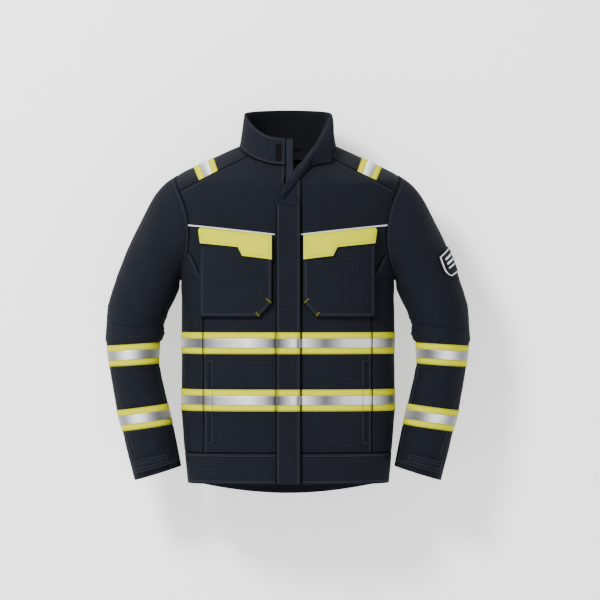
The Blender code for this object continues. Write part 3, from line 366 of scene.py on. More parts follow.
def new_piece(name, vertices, faces, material, uvs=None, body=None, bend=None, slot=None, node=None):
    """A shown piece. Vertices are in coat millimetres and uvs in metres of cloth."""
    mesh = bpy.data.meshes.new(name)
    mesh.from_pydata([tuple(v) for v in place(vertices)], [], faces)
    mesh.shade_smooth()
    if uvs is not None:
        layer = mesh.uv_layers.new(name="cloth")
        corners = np.empty(len(mesh.loops), int)
        mesh.loops.foreach_get("vertex_index", corners)
        layer.data.foreach_set("uv", np.asarray(uvs, np.float32)[corners].ravel())
    mesh.materials.append(material)
    obj = bpy.data.objects.new(name, mesh)
    bpy.context.scene.collection.objects.link(obj)
    settle(obj, body, bend, node)
    return obj


def settle(obj, body, bend, node):
    if bend is not None:
        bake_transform(obj)
    elif body is not None:
        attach(obj, body)
    if node is not None:
        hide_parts(*([node] if isinstance(node, str) else node))


def grid_normals(points, around):
    if around:
        across = np.roll(points, -1, axis=1) - np.roll(points, 1, axis=1)
    else:
        across = np.gradient(points, axis=1)
    up = np.gradient(points, axis=0)
    normal = np.cross(across, up)
    return normal / np.maximum(np.linalg.norm(normal, axis=-1, keepdims=True), 1e-9)


def cloth_uvs(points, around):
    across = np.linalg.norm(np.diff(points, axis=1), axis=-1).mean(axis=0)
    up = np.linalg.norm(np.diff(points, axis=0), axis=-1).mean(axis=1)
    u = np.concatenate([[0.0], np.cumsum(across)]) * MM
    v = np.concatenate([[0.0], np.cumsum(up)]) * MM
    return np.stack(np.meshgrid(u, v), axis=-1)


def sheet_grid(name, points, thickness, material, around=False, outward=1.0, **how):
    """A closed thin sheet. Its outer face is the grid and its inner face lies under it."""
    rows, columns = points.shape[:2]
    normal = grid_normals(points, around) * outward
    vertices = np.concatenate([points.reshape(-1, 3), (points - normal * thickness).reshape(-1, 3)])
    uv = cloth_uvs(points, around).reshape(-1, 2)
    uvs = np.concatenate([uv, uv])
    count = rows * columns
    faces = []
    turn = outward > 0.0
    last = columns if around else columns - 1

    def add(a, b, c, d):
        faces.append((a, b, c, d) if turn else (d, c, b, a))

    for r in range(rows - 1):
        for c in range(last):
            a = r * columns + c
            b = r * columns + (c + 1) % columns
            add(a, b, b + columns, a + columns)
            add(count + a + columns, count + b + columns, count + b, count + a)
    for c in range(last):
        a = c
        b = (c + 1) % columns
        add(count + a, count + b, b, a)
        a += (rows - 1) * columns
        b += (rows - 1) * columns
        add(a, b, count + b, count + a)
    if not around:
        for r in range(rows - 1):
            a = r * columns
            b = a + columns
            add(a, b, count + b, count + a)
            a += columns - 1
            b += columns - 1
            add(count + a, count + b, b, a)
    return new_piece(name, vertices, faces, material, uvs, **how)


class Thread:
    """Stitches, seam lines and cords that share a material and a body, gathered in one mesh."""

    def __init__(self):
        self.vertices = []
        self.faces = []
        self.uvs = []

    def tube(self, points, normals, half_width, half_height, closed_ends=True):
        """A flattened tube along a line, with its wide side lying on the cloth."""
        forward = np.gradient(points, axis=0)
        forward /= np.maximum(np.linalg.norm(forward, axis=1, keepdims=True), 1e-9)
        side = np.cross(forward, normals)
        side /= np.maximum(np.linalg.norm(side, axis=1, keepdims=True), 1e-9)
        start = len(self.vertices)
        ring = 6
        travelled = np.concatenate([[0.0], np.cumsum(np.linalg.norm(np.diff(points, axis=0), axis=1))])
        for i, (point, across, out) in enumerate(zip(points, side, normals)):
            for k in range(ring):
                turn = 2.0 * math.pi * k / ring
                wide = across * half_width * math.cos(turn)
                self.vertices.append(point + wide + out * half_height * math.sin(turn))
                self.uvs.append((travelled[i] * MM, k / ring * 2.0 * half_width * MM))
        for i in range(len(points) - 1):
            for k in range(ring):
                a = start + i * ring + k
                b = start + i * ring + (k + 1) % ring
                self.faces.append((a, b, b + ring, a + ring))
        if closed_ends:
            self.faces.append(tuple(start + k for k in reversed(range(ring))))
            self.faces.append(tuple(start + (len(points) - 1) * ring + k for k in range(ring)))

    def stitches(self, points, normals, length=2.9, gap=1.3, half_width=0.42, half_height=0.3):
        """A row of stitches along a line. Each is a short fat dash that dips at both ends."""
        steps = np.concatenate([[0.0], np.cumsum(np.linalg.norm(np.diff(points, axis=0), axis=1))])
        count = int(steps[-1] // (length + gap))
        if count < 1:
            return
        pitch = steps[-1] / count
        starts = np.arange(count) * pitch + gap / 2.0
        for begin in starts:
            wanted = begin + np.array([0.0, 0.35, 0.65, 1.0]) * (pitch - gap)
            line = np.stack([np.interp(wanted, steps, points[:, i]) for i in range(3)], axis=1)
            out = np.stack([np.interp(wanted, steps, normals[:, i]) for i in range(3)], axis=1)
            out /= np.linalg.norm(out, axis=1, keepdims=True)
            line = line + out * np.array([[-0.25], [0.12], [0.12], [-0.25]])
            self.tube(line, out, half_width, half_height)

    def piece(self, name, material, **how):
        return new_piece(name, self.vertices, self.faces, material, self.uvs, **how)


def line_on(surface, path, out, step=3.0):
    """Points and outward directions along a path that is drawn in a surface's own coordinates."""
    path = np.asarray(path, float)
    base = surface(path[:, 0], path[:, 1], out)
    lengths = np.concatenate([[0.0], np.cumsum(np.linalg.norm(np.diff(base, axis=0), axis=1))])
    count = max(2, int(lengths[-1] / step) + 1)
    wanted = np.linspace(0.0, lengths[-1], count)
    first = np.interp(wanted, lengths, path[:, 0])
    second = np.interp(wanted, lengths, path[:, 1])
    points = surface(first, second, out)
    normals = surface(first, second, out + 1.0) - points
    return points, normals / np.linalg.norm(normals, axis=1, keepdims=True)


def dense(path, count=24):
    """The same path with more points between its corners."""
    path = np.asarray(path, float)
    pieces = [path[i] + (path[i + 1] - path[i]) * np.linspace(0.0, 1.0, count, endpoint=False)[:, None]
              for i in range(len(path) - 1)]
    return np.concatenate(pieces + [path[-1:]])


def level_run(along, level):
    """A path that runs along a surface's first coordinate at one value of its second."""
    return np.stack([along, np.full(along.shape, level)], axis=1)


def beside(path, gap):
    """A path moved sideways in its own plane: to the right of the way it runs for a positive gap."""
    path = np.asarray(path, float)
    run = np.gradient(path, axis=0)
    run /= np.maximum(np.linalg.norm(run, axis=1, keepdims=True), 1e-9)
    return path + np.stack([run[:, 1], -run[:, 0]], axis=1) * gap


# Materials -------------------------------------------------------------------

def node_group(name, inputs, outputs):
    group = bpy.data.node_groups.new(name, "ShaderNodeTree")
    for label, kind, value in inputs:
        socket = group.interface.new_socket(label, in_out="INPUT", socket_type=kind)
        socket.default_value = value
    for label, kind in outputs:
        group.interface.new_socket(label, in_out="OUTPUT", socket_type=kind)
    return group, group.nodes.new("NodeGroupInput"), group.nodes.new("NodeGroupOutput")


def math_node(group, operation, first, second=None, third=None):
    node = group.nodes.new("ShaderNodeMath")
    node.operation = operation
    for socket, value in zip(node.inputs, (first, second, third)):
        if value is None:
            continue
        if isinstance(value, (int, float)):
            socket.default_value = value
        else:
            group.links.new(value, socket)
    return node.outputs[0]


def make_weave_group():
    """Crossing threads, a coarser grid of heavy threads, and slow changes from wear."""
    group, given, result = node_group(
        "woven_cloth",
        [("Threads per Metre", "NodeSocketFloat", 900.0), ("Grid per Metre", "NodeSocketFloat", 170.0),
         ("Grid Strength", "NodeSocketFloat", 1.0), ("Wear Scale", "NodeSocketFloat", 9.0)],
        [("Grid Mask", "NodeSocketFloat"), ("Wear Mask", "NodeSocketFloat"), ("Height", "NodeSocketFloat")],
    )
    link = group.links.new
    coordinates = group.nodes.new("ShaderNodeTexCoord")
    split = group.nodes.new("ShaderNodeSeparateXYZ")
    link(coordinates.outputs["UV"], split.inputs[0])
    waves = []
    for axis in ("X", "Y"):
        turns = math_node(group, "MULTIPLY", split.outputs[axis], given.outputs["Threads per Metre"])
        wave = math_node(group, "SINE", math_node(group, "MULTIPLY", turns, math.tau))
        waves.append(wave)
    crossing = math_node(group, "MULTIPLY", waves[0], waves[1])
    thread = math_node(group, "MULTIPLY_ADD", crossing, 0.5, 0.5)
    lines = []
    for axis in ("X", "Y"):
        cells = math_node(group, "MULTIPLY", split.outputs[axis], given.outputs["Grid per Metre"])
        saw = math_node(group, "FRACT", cells)
        away = math_node(group, "ABSOLUTE", math_node(group, "SUBTRACT", saw, 0.5))
        lines.append(math_node(group, "SMOOTH_MAX", math_node(group, "MULTIPLY_ADD", away, -7.0, 1.0), 0.0,
                               0.1))
    grid = math_node(group, "MAXIMUM", lines[0], lines[1])
    grid = math_node(group, "MULTIPLY", grid, given.outputs["Grid Strength"])
    wear = group.nodes.new("ShaderNodeTexNoise")
    wear.inputs["Detail"].default_value = 5.0
    link(coordinates.outputs["UV"], wear.inputs["Vector"])
    link(given.outputs["Wear Scale"], wear.inputs["Scale"])
    height = math_node(group, "MULTIPLY_ADD", grid, 0.7, thread)
    link(grid, result.inputs["Grid Mask"])
    link(wear.outputs["Fac"], result.inputs["Wear Mask"])
    link(height, result.inputs["Height"])
    return group


def make_tone_group():
    """Mixes a base colour towards a lighter and a darker one with two masks."""
    group, given, result = node_group(
        "cloth_tones",
        [("Base", "NodeSocketColor", (0.02, 0.02, 0.03, 1.0)),
         ("Light", "NodeSocketColor", (0.05, 0.05, 0.07, 1.0)),
         ("Dark", "NodeSocketColor", (0.01, 0.01, 0.01, 1.0)), ("Light Mask", "NodeSocketFloat", 0.0),
         ("Dark Mask", "NodeSocketFloat", 0.0), ("Rough Low", "NodeSocketFloat", 0.7),
         ("Rough High", "NodeSocketFloat", 0.95)],
        [("Color", "NodeSocketColor"), ("Roughness", "NodeSocketFloat")],
    )
    link = group.links.new
    colour = given.outputs["Base"]
    for label in ("Light", "Dark"):
        mixing = group.nodes.new("ShaderNodeMix")
        mixing.data_type = "RGBA"
        link(given.outputs[label + " Mask"], mixing.inputs["Factor"])
        link(colour, mixing.inputs["A"])
        link(given.outputs[label], mixing.inputs["B"])
        colour = mixing.outputs["Result"]
    link(colour, result.inputs["Color"])
    span = math_node(group, "SUBTRACT", given.outputs["Rough High"], given.outputs["Rough Low"])
    rough = math_node(group, "MULTIPLY_ADD", span, given.outputs["Dark Mask"], given.outputs["Rough Low"])
    link(rough, result.inputs["Roughness"])
    return group


WEAVE = make_weave_group()
TONES = make_tone_group()


def linear(red, green, blue):
    """A screen colour from 0 to 255 as linear light."""
    parts = []
    for part in (red, green, blue):
        parts.append(((part / 255.0 + 0.055) / 1.055) ** 2.4 if part > 10.0 else part / 255.0 / 12.92)
    return (*parts, 1.0)


def cloth(name, base, light, dark, rough=(0.75, 0.95), threads=900.0, grid=170.0, grid_strength=1.0,
          light_gain=0.5, wear_gain=0.35, bump=0.0004, sheen=0.006, metallic=0.0, painted_highlight_attribute=None):
    material = bpy.data.materials.new(name)
    material.use_nodes = True
    tree = material.node_tree
    shader = tree.nodes["Principled BSDF"]
    weave = tree.nodes.new("ShaderNodeGroup")
    weave.node_tree = WEAVE
    weave.inputs["Threads per Metre"].default_value = threads
    weave.inputs["Grid per Metre"].default_value = grid
    weave.inputs["Grid Strength"].default_value = grid_strength
    tones = tree.nodes.new("ShaderNodeGroup")
    tones.node_tree = TONES
    tones.inputs["Base"].default_value = base
    tones.inputs["Light"].default_value = light
    tones.inputs["Dark"].default_value = dark
    tones.inputs["Rough Low"].default_value = rough[0]
    tones.inputs["Rough High"].default_value = rough[1]
    if painted_highlight_attribute is None:
        lighter_mask = math_node(tree, "MULTIPLY", weave.outputs["Grid Mask"], light_gain)
    else:
        # A painted highlight: a point attribute mixes the colour towards the light one.
        painted_highlight = tree.nodes.new("ShaderNodeAttribute")
        painted_highlight.attribute_name = painted_highlight_attribute
        lighter_mask = painted_highlight.outputs["Fac"]
    tree.links.new(lighter_mask, tones.inputs["Light Mask"])
    worn = math_node(tree, "MULTIPLY", weave.outputs["Wear Mask"], wear_gain)
    tree.links.new(worn, tones.inputs["Dark Mask"])
    tree.links.new(tones.outputs["Color"], shader.inputs["Base Color"])
    tree.links.new(tones.outputs["Roughness"], shader.inputs["Roughness"])
    relief = tree.nodes.new("ShaderNodeBump")
    relief.inputs["Strength"].default_value = 0.6
    relief.inputs["Distance"].default_value = bump
    tree.links.new(weave.outputs["Height"], relief.inputs["Height"])
    tree.links.new(relief.outputs["Normal"], shader.inputs["Normal"])
    shader.inputs["Sheen Weight"].default_value = sheen
    shader.inputs["Sheen Roughness"].default_value = 0.5
    shader.inputs["Metallic"].default_value = metallic
    shader.inputs["Specular IOR Level"].default_value = 0.5 if metallic else 0.07
    return material


NAVY = cloth("shell_cloth", linear(16, 19, 26), linear(34, 38, 48), linear(10, 11, 16))
LINING = cloth("lining_cloth", linear(12, 14, 19), linear(24, 27, 34), linear(8, 9, 12), grid=120.0,
               grid_strength=0.5)
SEAM_BLACK = cloth("seam_edge", linear(4, 4, 5), linear(9, 9, 11), linear(2, 2, 2), grid_strength=0.3,
                   sheen=0.0)
THREAD = cloth("grey_thread", linear(58, 61, 69), linear(82, 86, 94), linear(38, 41, 48), threads=2600.0,
               grid_strength=0.2, bump=0.0001)
YELLOW = cloth("yellow_cloth", linear(198, 199, 0), linear(208, 209, 0), linear(178, 178, 0),
               rough=(0.8, 0.95),
               grid_strength=0.6, light_gain=0.35, wear_gain=0.3, sheen=0.0)
YELLOW_THREAD = cloth("yellow_thread", linear(96, 94, 4), linear(112, 110, 6), linear(70, 68, 2),
                      threads=2600.0, grid_strength=0.2, bump=0.0001)
# The silver tape's light colour is a painted highlight, mixed in by a point attribute on each tape.
SILVER = cloth("silver_tape", linear(72, 74, 78), linear(255, 255, 255), linear(60, 62, 66), rough=(0.3, 0.5),
               threads=1400.0, grid=420.0, grid_strength=0.4, wear_gain=0.25, metallic=0.25, painted_highlight_attribute="painted_highlight",
               bump=0.0001)
WHITE = cloth("white_piping", linear(214, 216, 222), linear(240, 241, 245), linear(168, 171, 180), grid=400.0)
HOOK = cloth("hook_fabric", linear(4, 4, 5), linear(12, 12, 14), linear(2, 2, 2), threads=420.0, grid=700.0,
             bump=0.0012, sheen=0.03)
BADGE_FACE = cloth("badge_cloth", linear(16, 17, 22), linear(30, 32, 40), linear(8, 8, 11), threads=1500.0,
                   grid=800.0)
BRASS = cloth("zip_brass", linear(150, 140, 118), linear(206, 198, 172), linear(96, 88, 70),
              rough=(0.28, 0.5),
              threads=300.0, grid=60.0, grid_strength=0.2, metallic=1.0, sheen=0.0, bump=0.00005)
TAPE = cloth("zip_tape", linear(28, 30, 38), linear(52, 55, 64), linear(16, 17, 21), grid=900.0)


# Body shell ------------------------------------------------------------------

SHELL_THICKNESS = 1.8


def side_x(y, z):
    """How far out the side of the coat is at a depth and a height."""
    y, z = np.broadcast_arrays(np.asarray(y, float), np.asarray(z, float))

    def height_for(angle):
        rise = (z - CHEST_HEIGHT) / (neck_height(angle) - CHEST_HEIGHT)
        above = CHEST_HEIGHT + (NECK_SIDE_HEIGHT - CHEST_HEIGHT) * np.clip(rise, 0.0, 1.0)
        return np.where(z <= CHEST_HEIGHT, z, above)

    angle = bisect(lambda a: body_surface(a, height_for(a))[..., 1], np.abs(y), 0.0, 1.4)
    return body_surface(angle, height_for(angle))[..., 0]


def line_height(line, x):
    xs = [p[0] for p in line]
    zs = [p[1] for p in line]
    return np.interp(x, xs, zs)


def fold_x(z):
    return np.interp(z, [p[1] for p in LAPEL_FOLD], [p[0] for p in LAPEL_FOLD])


def is_folded_away(x, y, z):
    """The corner of the wearer's left front that lies folded open."""
    return y < 0.0 and z > LAPEL_FOLD[0][1] and -FRONT_EDGE < x < fold_x(z) + 1.0


def panel_name(x, y, z, height):
    side = "left" if x > 0.0 else "right"
    across = abs(x)
    if height < HEM_BAND_TOP:
        return "hem_band_back" if y > 0.0 and across < SIDE_SEAM else "hem_band_" + side
    edge = np.interp(z, (HEM_BAND_TOP, SIDE_SEAM_TOP, SIDE_SEAM_ARMHOLE[1]),
                     (SIDE_SEAM, SIDE_SEAM, SIDE_SEAM_ARMHOLE[0]))
    if z > 735.0 - (across - 84.0) * 0.513 + 12.0 and across > 60.0:
        return "shoulder_yoke_" + side
    if across > edge and z < SIDE_SEAM_ARMHOLE[1]:
        return "side_panel_" + side
    if y > 0.0:
        return "back_panel"
    if z > line_height(CHEST_SEAM, across):
        return "front_yoke_" + side
    return "front_panel_" + side


def body_angles():
    even = np.linspace(0.0, math.pi / 2.0, 61)
    bunched = even - 0.10 * np.sin(4.0 * even)
    full = np.concatenate([bunched[:-1] + k * math.pi / 2.0 for k in range(4)])
    return full - math.pi / 2.0


def make_body_shell():
    angles = body_angles()
    heights = np.concatenate([
        np.linspace(FRONT_HEM, HEM_BAND_TOP, 18)[:-1],
        np.linspace(HEM_BAND_TOP, CHEST_HEIGHT, 128)[:-1],
        np.linspace(CHEST_HEIGHT, NECK_SIDE_HEIGHT, 34),
    ])
    turn, height = np.meshgrid(angles, heights)
    points = body_out(turn, height, 0.0, seams=True)
    columns = len(angles)
    shell = bmesh.new()
    layer = shell.verts.layers.float.new("height")
    uv_turn = shell.verts.layers.float.new("along")
    around = np.concatenate([[0.0], np.cumsum(np.linalg.norm(np.diff(points[60], axis=0), axis=1))])
    vertices = []
    for r in range(len(heights)):
        for c in range(columns):
            vertex = shell.verts.new(points[r, c])
            vertex[layer] = heights[r]
            vertex[uv_turn] = around[c]
            vertices.append(vertex)
    for r in range(len(heights) - 1):
        for c in range(columns):
            a = r * columns + c
            b = r * columns + (c + 1) % columns
            corners = [vertices[i] for i in (a, b, b + columns, a + columns)]
            middle = sum((v.co for v in corners), Vector()) / 4.0
            if is_folded_away(middle.x, middle.y, middle.z):
                continue
            if middle.y < 0.0 and -FRONT_EDGE < middle.x < FRONT_EDGE * 0.3:
                continue
            oval = math.hypot(middle.y / ARMHOLE_HALF_DEPTH,
                              (middle.z - ARMHOLE_HEIGHT) / ARMHOLE_HALF_HEIGHT)
            if abs(middle.x) > 150.0 and oval < 0.94:
                continue
            shell.faces.new(corners)
    side_span = (HEM_BAND_TOP, SIDE_SEAM_TOP)
    cuts = [((side * SIDE_SEAM, 0.0, 0.0), (1.0, 0.0, 0.0), side_span) for side in (-1.0, 1.0)]
    for side in (-1.0, 1.0):
        for line, span in ((CHEST_SEAM, (560.0, 600.0)), (YOKE_SEAM, (660.0, 760.0))):
            (x0, z0), (x1, z1) = line
            cuts.append(((side * x0, 0.0, z0), (-(z1 - z0), 0.0, side * (x1 - x0)), span))
    for spot, facing, (low, high) in cuts:
        near = []
        for face in shell.faces:
            middle = face.calc_center_median()
            if low - 8.0 < middle.z < high + 8.0 and middle.x * (spot[0] or 1.0) > 0.0:
                near.append(face)
        geometry = list({v for f in near for v in f.verts}) + list({e for f in near for e in f.edges}) + near
        bmesh.ops.bisect_plane(shell, geom=geometry, plane_co=spot, plane_no=facing, dist=0.05)
    for side in (-1.0, 1.0):
        for vertex in shell.verts:
            at_armhole = vertex.co.x * side > 150.0 and 450.0 < vertex.co.z < SHOULDER_POINT + 14.0
            if vertex.is_boundary and at_armhole:
                pull = math.hypot(vertex.co.y / ARMHOLE_HALF_DEPTH,
                                  (vertex.co.z - ARMHOLE_HEIGHT) / ARMHOLE_HALF_HEIGHT)
                y = vertex.co.y / pull
                z = ARMHOLE_HEIGHT + (vertex.co.z - ARMHOLE_HEIGHT) / pull
                vertex.co = Vector((side * float(side_x(y, z)), y, z))
    groups = {}
    for face in shell.faces:
        middle = face.calc_center_median()
        height = sum(v[layer] for v in face.verts) / len(face.verts)
        groups.setdefault(panel_name(middle.x, middle.y, middle.z, height), []).append(face)
    for name, faces in groups.items():
        index = {}
        coordinates = []
        uvs = []
        polygons = []
        for face in faces:
            polygon = []
            for vertex in face.verts:
                if vertex not in index:
                    index[vertex] = len(coordinates)
                    coordinates.append(vertex.co[:])
                    uvs.append((vertex[uv_turn] * MM, vertex.co.z * MM))
                polygon.append(index[vertex])
            polygons.append(polygon)
        obj = new_piece(name + "_cloth", coordinates, polygons, NAVY, uvs)
        thicken(obj, SHELL_THICKNESS)
        settle(obj, "coat", None, name)
        SHEETS.append(obj)
    shell.free()


SHEETS = []


def thicken(obj, thickness):
    """Gives a single layer of cloth its thickness, inwards, and keeps the result as its mesh."""
    solid = obj.modifiers.new("thickness", "SOLIDIFY")
    solid.thickness = thickness * MM
    solid.offset = -1.0
    evaluated = obj.evaluated_get(bpy.context.evaluated_depsgraph_get())
    mesh = bpy.data.meshes.new_from_object(evaluated)
    obj.modifiers.clear()
    obj.data = mesh


make_body_shell()


# Collar and neck -------------------------------------------------------------

def collar_out(angle, share, out):
    angle, share = np.broadcast_arrays(np.asarray(angle, float), np.asarray(share, float))
    points = collar_surface(angle, share)
    wave = soft_noise(points, 0.02, (1.0, 1.0, 1.0), 2.0) * 0.7
    normal = normals_of(collar_surface, angle, share, 0.01, 0.05)
    return points + normal * (out + wave)[..., None]


COLLAR_THICKNESS = 2.6


def collar_piece(name, first, last, keep):
    turn, share = np.meshgrid(np.linspace(first, last, 90), np.linspace(0.0, 1.0, 30))
    points = collar_out(turn, share, COLLAR_THICKNESS / 2.0)
    rows, columns = turn.shape
    faces = []
    for r in range(rows - 1):
        for c in range(columns - 1):
            a = r * columns + c
            middle = (points[r, c] + points[r + 1, c + 1]) / 2.0
            if keep(middle):
                faces.append((a, a + 1, a + 1 + columns, a + columns))
    uv = cloth_uvs(points, False).reshape(-1, 2)
    used = sorted({i for f in faces for i in f})
    index = {old: new for new, old in enumerate(used)}
    faces = [tuple(index[i] for i in f) for f in faces]
    obj = new_piece(name + "_cloth", points.reshape(-1, 3)[used], faces, NAVY, uv[used])
    thicken(obj, COLLAR_THICKNESS)
    settle(obj, "coat", None, name)
    SHEETS.append(obj)


collar_piece("collar_right", -1.5 * math.pi, -math.pi / 2.0 - 0.05, lambda p: True)
collar_piece("collar_left", -1.45, math.pi / 2.0, lambda p: p[1] > 0.0 or p[0] > fold_x(p[2]) - 1.0)


def collar_front(x, z, out):
    """A point on the front half of the collar at x and z."""
    x, z = np.broadcast_arrays(np.asarray(x, float), np.asarray(z, float))
    share = np.full(x.shape, 0.5)
    for _ in range(14):
        width = NECK_HALF_WIDTH + (COLLAR_TOP_HALF_WIDTH - NECK_HALF_WIDTH) * share
        angle = -np.arccos(np.clip(np.abs(x) / width, 0.0, 0.999))
        low = collar_surface(angle, 0.0)[..., 2]
        high = collar_surface(angle, 1.0)[..., 2]
        share = np.clip((z - low) / (high - low), 0.0, 1.0)
    angle = np.where(x < 0.0, -math.pi - angle, angle)
    return collar_out(angle, share, COLLAR_THICKNESS / 2.0 + out)


def coat_front(x, z, out):
    neck = neck_height(-np.arccos(np.clip(np.abs(x) / NECK_HALF_WIDTH, 0.0, 1.0)))
    on_body = front_out(x, np.minimum(z, neck), out)
    on_collar = collar_front(x, z, out)
    share = np.clip((z - neck + 6.0) / 12.0, 0.0, 1.0)[..., None]
    return on_body + (on_collar - on_body) * share


LAPEL_START = 0.10


def along(line, share):
    line = np.asarray(line, float)
    steps = np.concatenate([[0.0], np.cumsum(np.linalg.norm(np.diff(line, axis=0), axis=1))])
    wanted = np.asarray(share) * steps[-1]
    return np.interp(wanted, steps, line[:, 0]), np.interp(wanted, steps, line[:, 1])


def lapel_surface(u, v, out):
    """The folded corner: u runs up the fold and v runs from the fold to the free edge."""
    u, v = np.broadcast_arrays(np.asarray(u, float), np.asarray(v, float))
    inside_x, inside_z = along(LAPEL_FOLD, u)
    edge_x, edge_z = along(LAPEL_EDGE, u)
    lift = 8.2 + (3.4 - 8.2) * np.minimum(1.0, 2.0 * u)
    fold = coat_front(inside_x, inside_z, lift)
    edge = coat_front(edge_x, edge_z, lift)
    away = fold - coat_front(inside_x, inside_z, 0.0) + edge - coat_front(edge_x, edge_z, 0.0)
    away *= np.array([0.3, 1.0, 1.0])
    away /= np.linalg.norm(away, axis=-1, keepdims=True)
    near_fold = np.sin(math.pi * np.minimum(1.0, v * 5.0) * 0.5)
    roll = 14.0 * np.sin(math.pi * v) * u + 3.0 * u * near_fold * (1.0 - v)
    points = fold + (edge - fold) * v[..., None]
    wave = soft_noise(points, 0.02, (1.0, 1.0, 1.0), 14.0) * 0.8 * v
    return points + away * (roll + wave + out)[..., None]


u, v = np.meshgrid(np.linspace(LAPEL_START, 1.0, 60), np.linspace(0.0, 1.0, 46))
sheet_grid("collar_lapel_cloth", lapel_surface(u, v, 0.9), 1.8, NAVY, outward=1.0,
           body="collar_lapel", slot="shell_cloth", node="collar_lapel")


def lining_surface(angle, share, out):
    """The inside of the neck: the collar's inner face above, and the facing below it."""
    share = np.asarray(share, float)
    upper = collar_surface(angle, np.maximum(share, 0.0))
    fall = np.minimum(share, 0.0)[..., None] * np.array([0.0, 0.0, 1.0]) * 60.0
    flat = upper * np.array([1.0, 1.0, 0.0])
    inward = flat / np.linalg.norm(flat, axis=-1, keepdims=True)
    return upper + fall - inward * (4.2 - out)


def lining_piece():
    angle, share = np.meshgrid(np.linspace(-0.10, math.pi + 0.10, 100), np.linspace(-0.6, 0.975, 40))
    points = lining_surface(angle, share, 0.0)
    sheet_grid("neck_facing_cloth", points, 1.2, LINING, body="coat", slot="lining_cloth",
               node="neck_facing", outward=-1.0)


lining_piece()

turn, height = np.meshgrid(np.linspace(-math.pi / 2.0, 1.5 * math.pi, 161)[:-1],
                           np.linspace(FRONT_HEM + 12.0, NECK_SIDE_HEIGHT - 3.0, 110))
sheet_grid("body_liner_cloth", body_out(turn, height, -9.0), 2.4, LINING, around=True,
           body="coat", slot="lining_cloth", node="body_liner")


# Sleeves ---------------------------------------------------------------------

PLANE_MIDDLE = Vector(((SLEEVE_PLANE[0][0] + SLEEVE_PLANE[1][0]) / 2.0, 0.0,
                       (SLEEVE_PLANE[0][1] + SLEEVE_PLANE[1][1]) / 2.0))
PLANE_NORMAL = Vector((0.8554, 0.0, -0.518))
ELBOW_TOP = 405.0
ELBOW_END = 292.0


def shoulder_bend(name, side):
    """The coat and the upper sleeve, and where the cloth turns from one to the other."""
    start = PLANE_MIDDLE - PLANE_NORMAL * 17.0
    end = PLANE_MIDDLE + PLANE_NORMAL * 60.0
    points = [place((side * p.x, p.y, p.z)) for p in (start, end)]
    return ("coat", "upper_sleeve_" + name, points[0], points[1])


def elbow_bend(name, side):
    points = [place((side * 336.0, 0.0, z)) for z in (ELBOW_TOP, ELBOW_END)]
    return ("upper_sleeve_" + name, "forearm_" + name, points[0], points[1])


def head_surface(share, turn, side, out):
    """The sleeve from the armhole (share 0) to the plane where it turns (share 1)."""
    share, turn = np.broadcast_arrays(np.asarray(share, float), np.asarray(turn, float))
    y = (ARMHOLE_HALF_DEPTH - 1.0 + out) * -np.sin(turn)
    z = ARMHOLE_HEIGHT + (ARMHOLE_HALF_HEIGHT - 1.0 + out) * np.cos(turn)
    start = np.stack([side_x(y, z) + 0.8, y, z], axis=-1)
    target = sleeve_base(0.0, turn, out + sleeve_folds(0.0, turn) * 0.6)
    target = target.reshape(start.shape)
    reach = np.linalg.norm(target - start, axis=-1, keepdims=True)
    leave = np.array([0.92, 0.0, -0.39]) * reach
    arrive = np.array([0.43, 0.0, -0.9]) * reach
    s = share[..., None]
    points = start * (2.0 * s**3 - 3.0 * s**2 + 1.0) + leave * (s**3 - 2.0 * s**2 + s)
    points = points + target * (3.0 * s**2 - 2.0 * s**3) + arrive * (s**3 - s**2)
    ripple = soft_noise(points, 0.02, (1.0, 1.0, 0.7),
                        31.0) * 1.6 * np.sin(math.pi * share) * np.clip(out + 2.0, 0.0, 1.0)
    outward = np.stack([np.cos(turn) * 0.6 + 0.5, -np.sin(turn), np.cos(turn) * 0.4], axis=-1)
    points = points + outward * ripple[..., None]
    points[..., 0] *= side
    return points


UPPER_END = 0.335
TURNS = 96


def sleeve_piece(name, side, low, high, rows, out, thickness, material, **how):
    turn, share = np.meshgrid(np.linspace(0.0, math.tau, TURNS + 1)[:-1], np.linspace(low, high, rows))
    points = sleeve_out(share, turn, side, out)
    return sheet_grid(name, points, thickness, material, around=True, outward=how.pop("outward"), **how)


def make_sleeve(name, side):
    facing = side
    turn, share = np.meshgrid(np.linspace(0.0, math.tau, TURNS + 1)[:-1], np.linspace(-0.045, 1.0, 40))
    head = head_surface(np.maximum(share, 0.0), turn, side, 0.0)
    tuck = np.minimum(share, 0.0)[..., None] * np.array([side * 60.0, 0.0, 0.0])
    head = head + tuck
    low_turn, low_share = np.meshgrid(np.linspace(0.0, math.tau, TURNS + 1)[:-1],
                                      np.linspace(0.0, UPPER_END, 52)[1:])
    upper = sleeve_out(low_share, low_turn, side, 0.0)
    points = np.concatenate([head, upper])
    whole = sheet_grid("sleeve_upper_%s_cloth" % name, points, SHELL_THICKNESS, NAVY, around=True,
                       outward=facing,
                       bend=shoulder_bend(name, side), slot="shell_cloth",
                       node=("sleeve_upper_" + name, "sleeve_head_" + name))
    lower = sleeve_piece("sleeve_lower_%s_cloth" % name, side, UPPER_END, 1.0, 110, 0.0, SHELL_THICKNESS,
                         NAVY,
                         outward=facing, bend=elbow_bend(name, side),
                         slot="shell_cloth",
                         node="sleeve_lower_" + name)
    upper_liner = sleeve_piece("sleeve_liner_upper_%s_cloth" % name, side, 0.02, UPPER_END, 20, -5.0, 1.6,
                               LINING,
                               outward=facing, bend=shoulder_bend(name, side), slot="lining_cloth",
                               node="sleeve_liner_upper_" + name)
    lower_liner = sleeve_piece("sleeve_liner_lower_%s_cloth" % name, side, UPPER_END, 0.985, 40, -5.0, 1.6,
                               LINING,
                               outward=facing, bend=elbow_bend(name, side),
                         slot="lining_cloth",
                               node="sleeve_liner_lower_" + name)
    for piece in (whole, lower, upper_liner, lower_liner):
        SHEETS.append(piece)


for side_name, side_sign in SIDES.items():
    make_sleeve(side_name, side_sign)


# Thread and edges that share a body --------------------------------------------

THREADS = {}


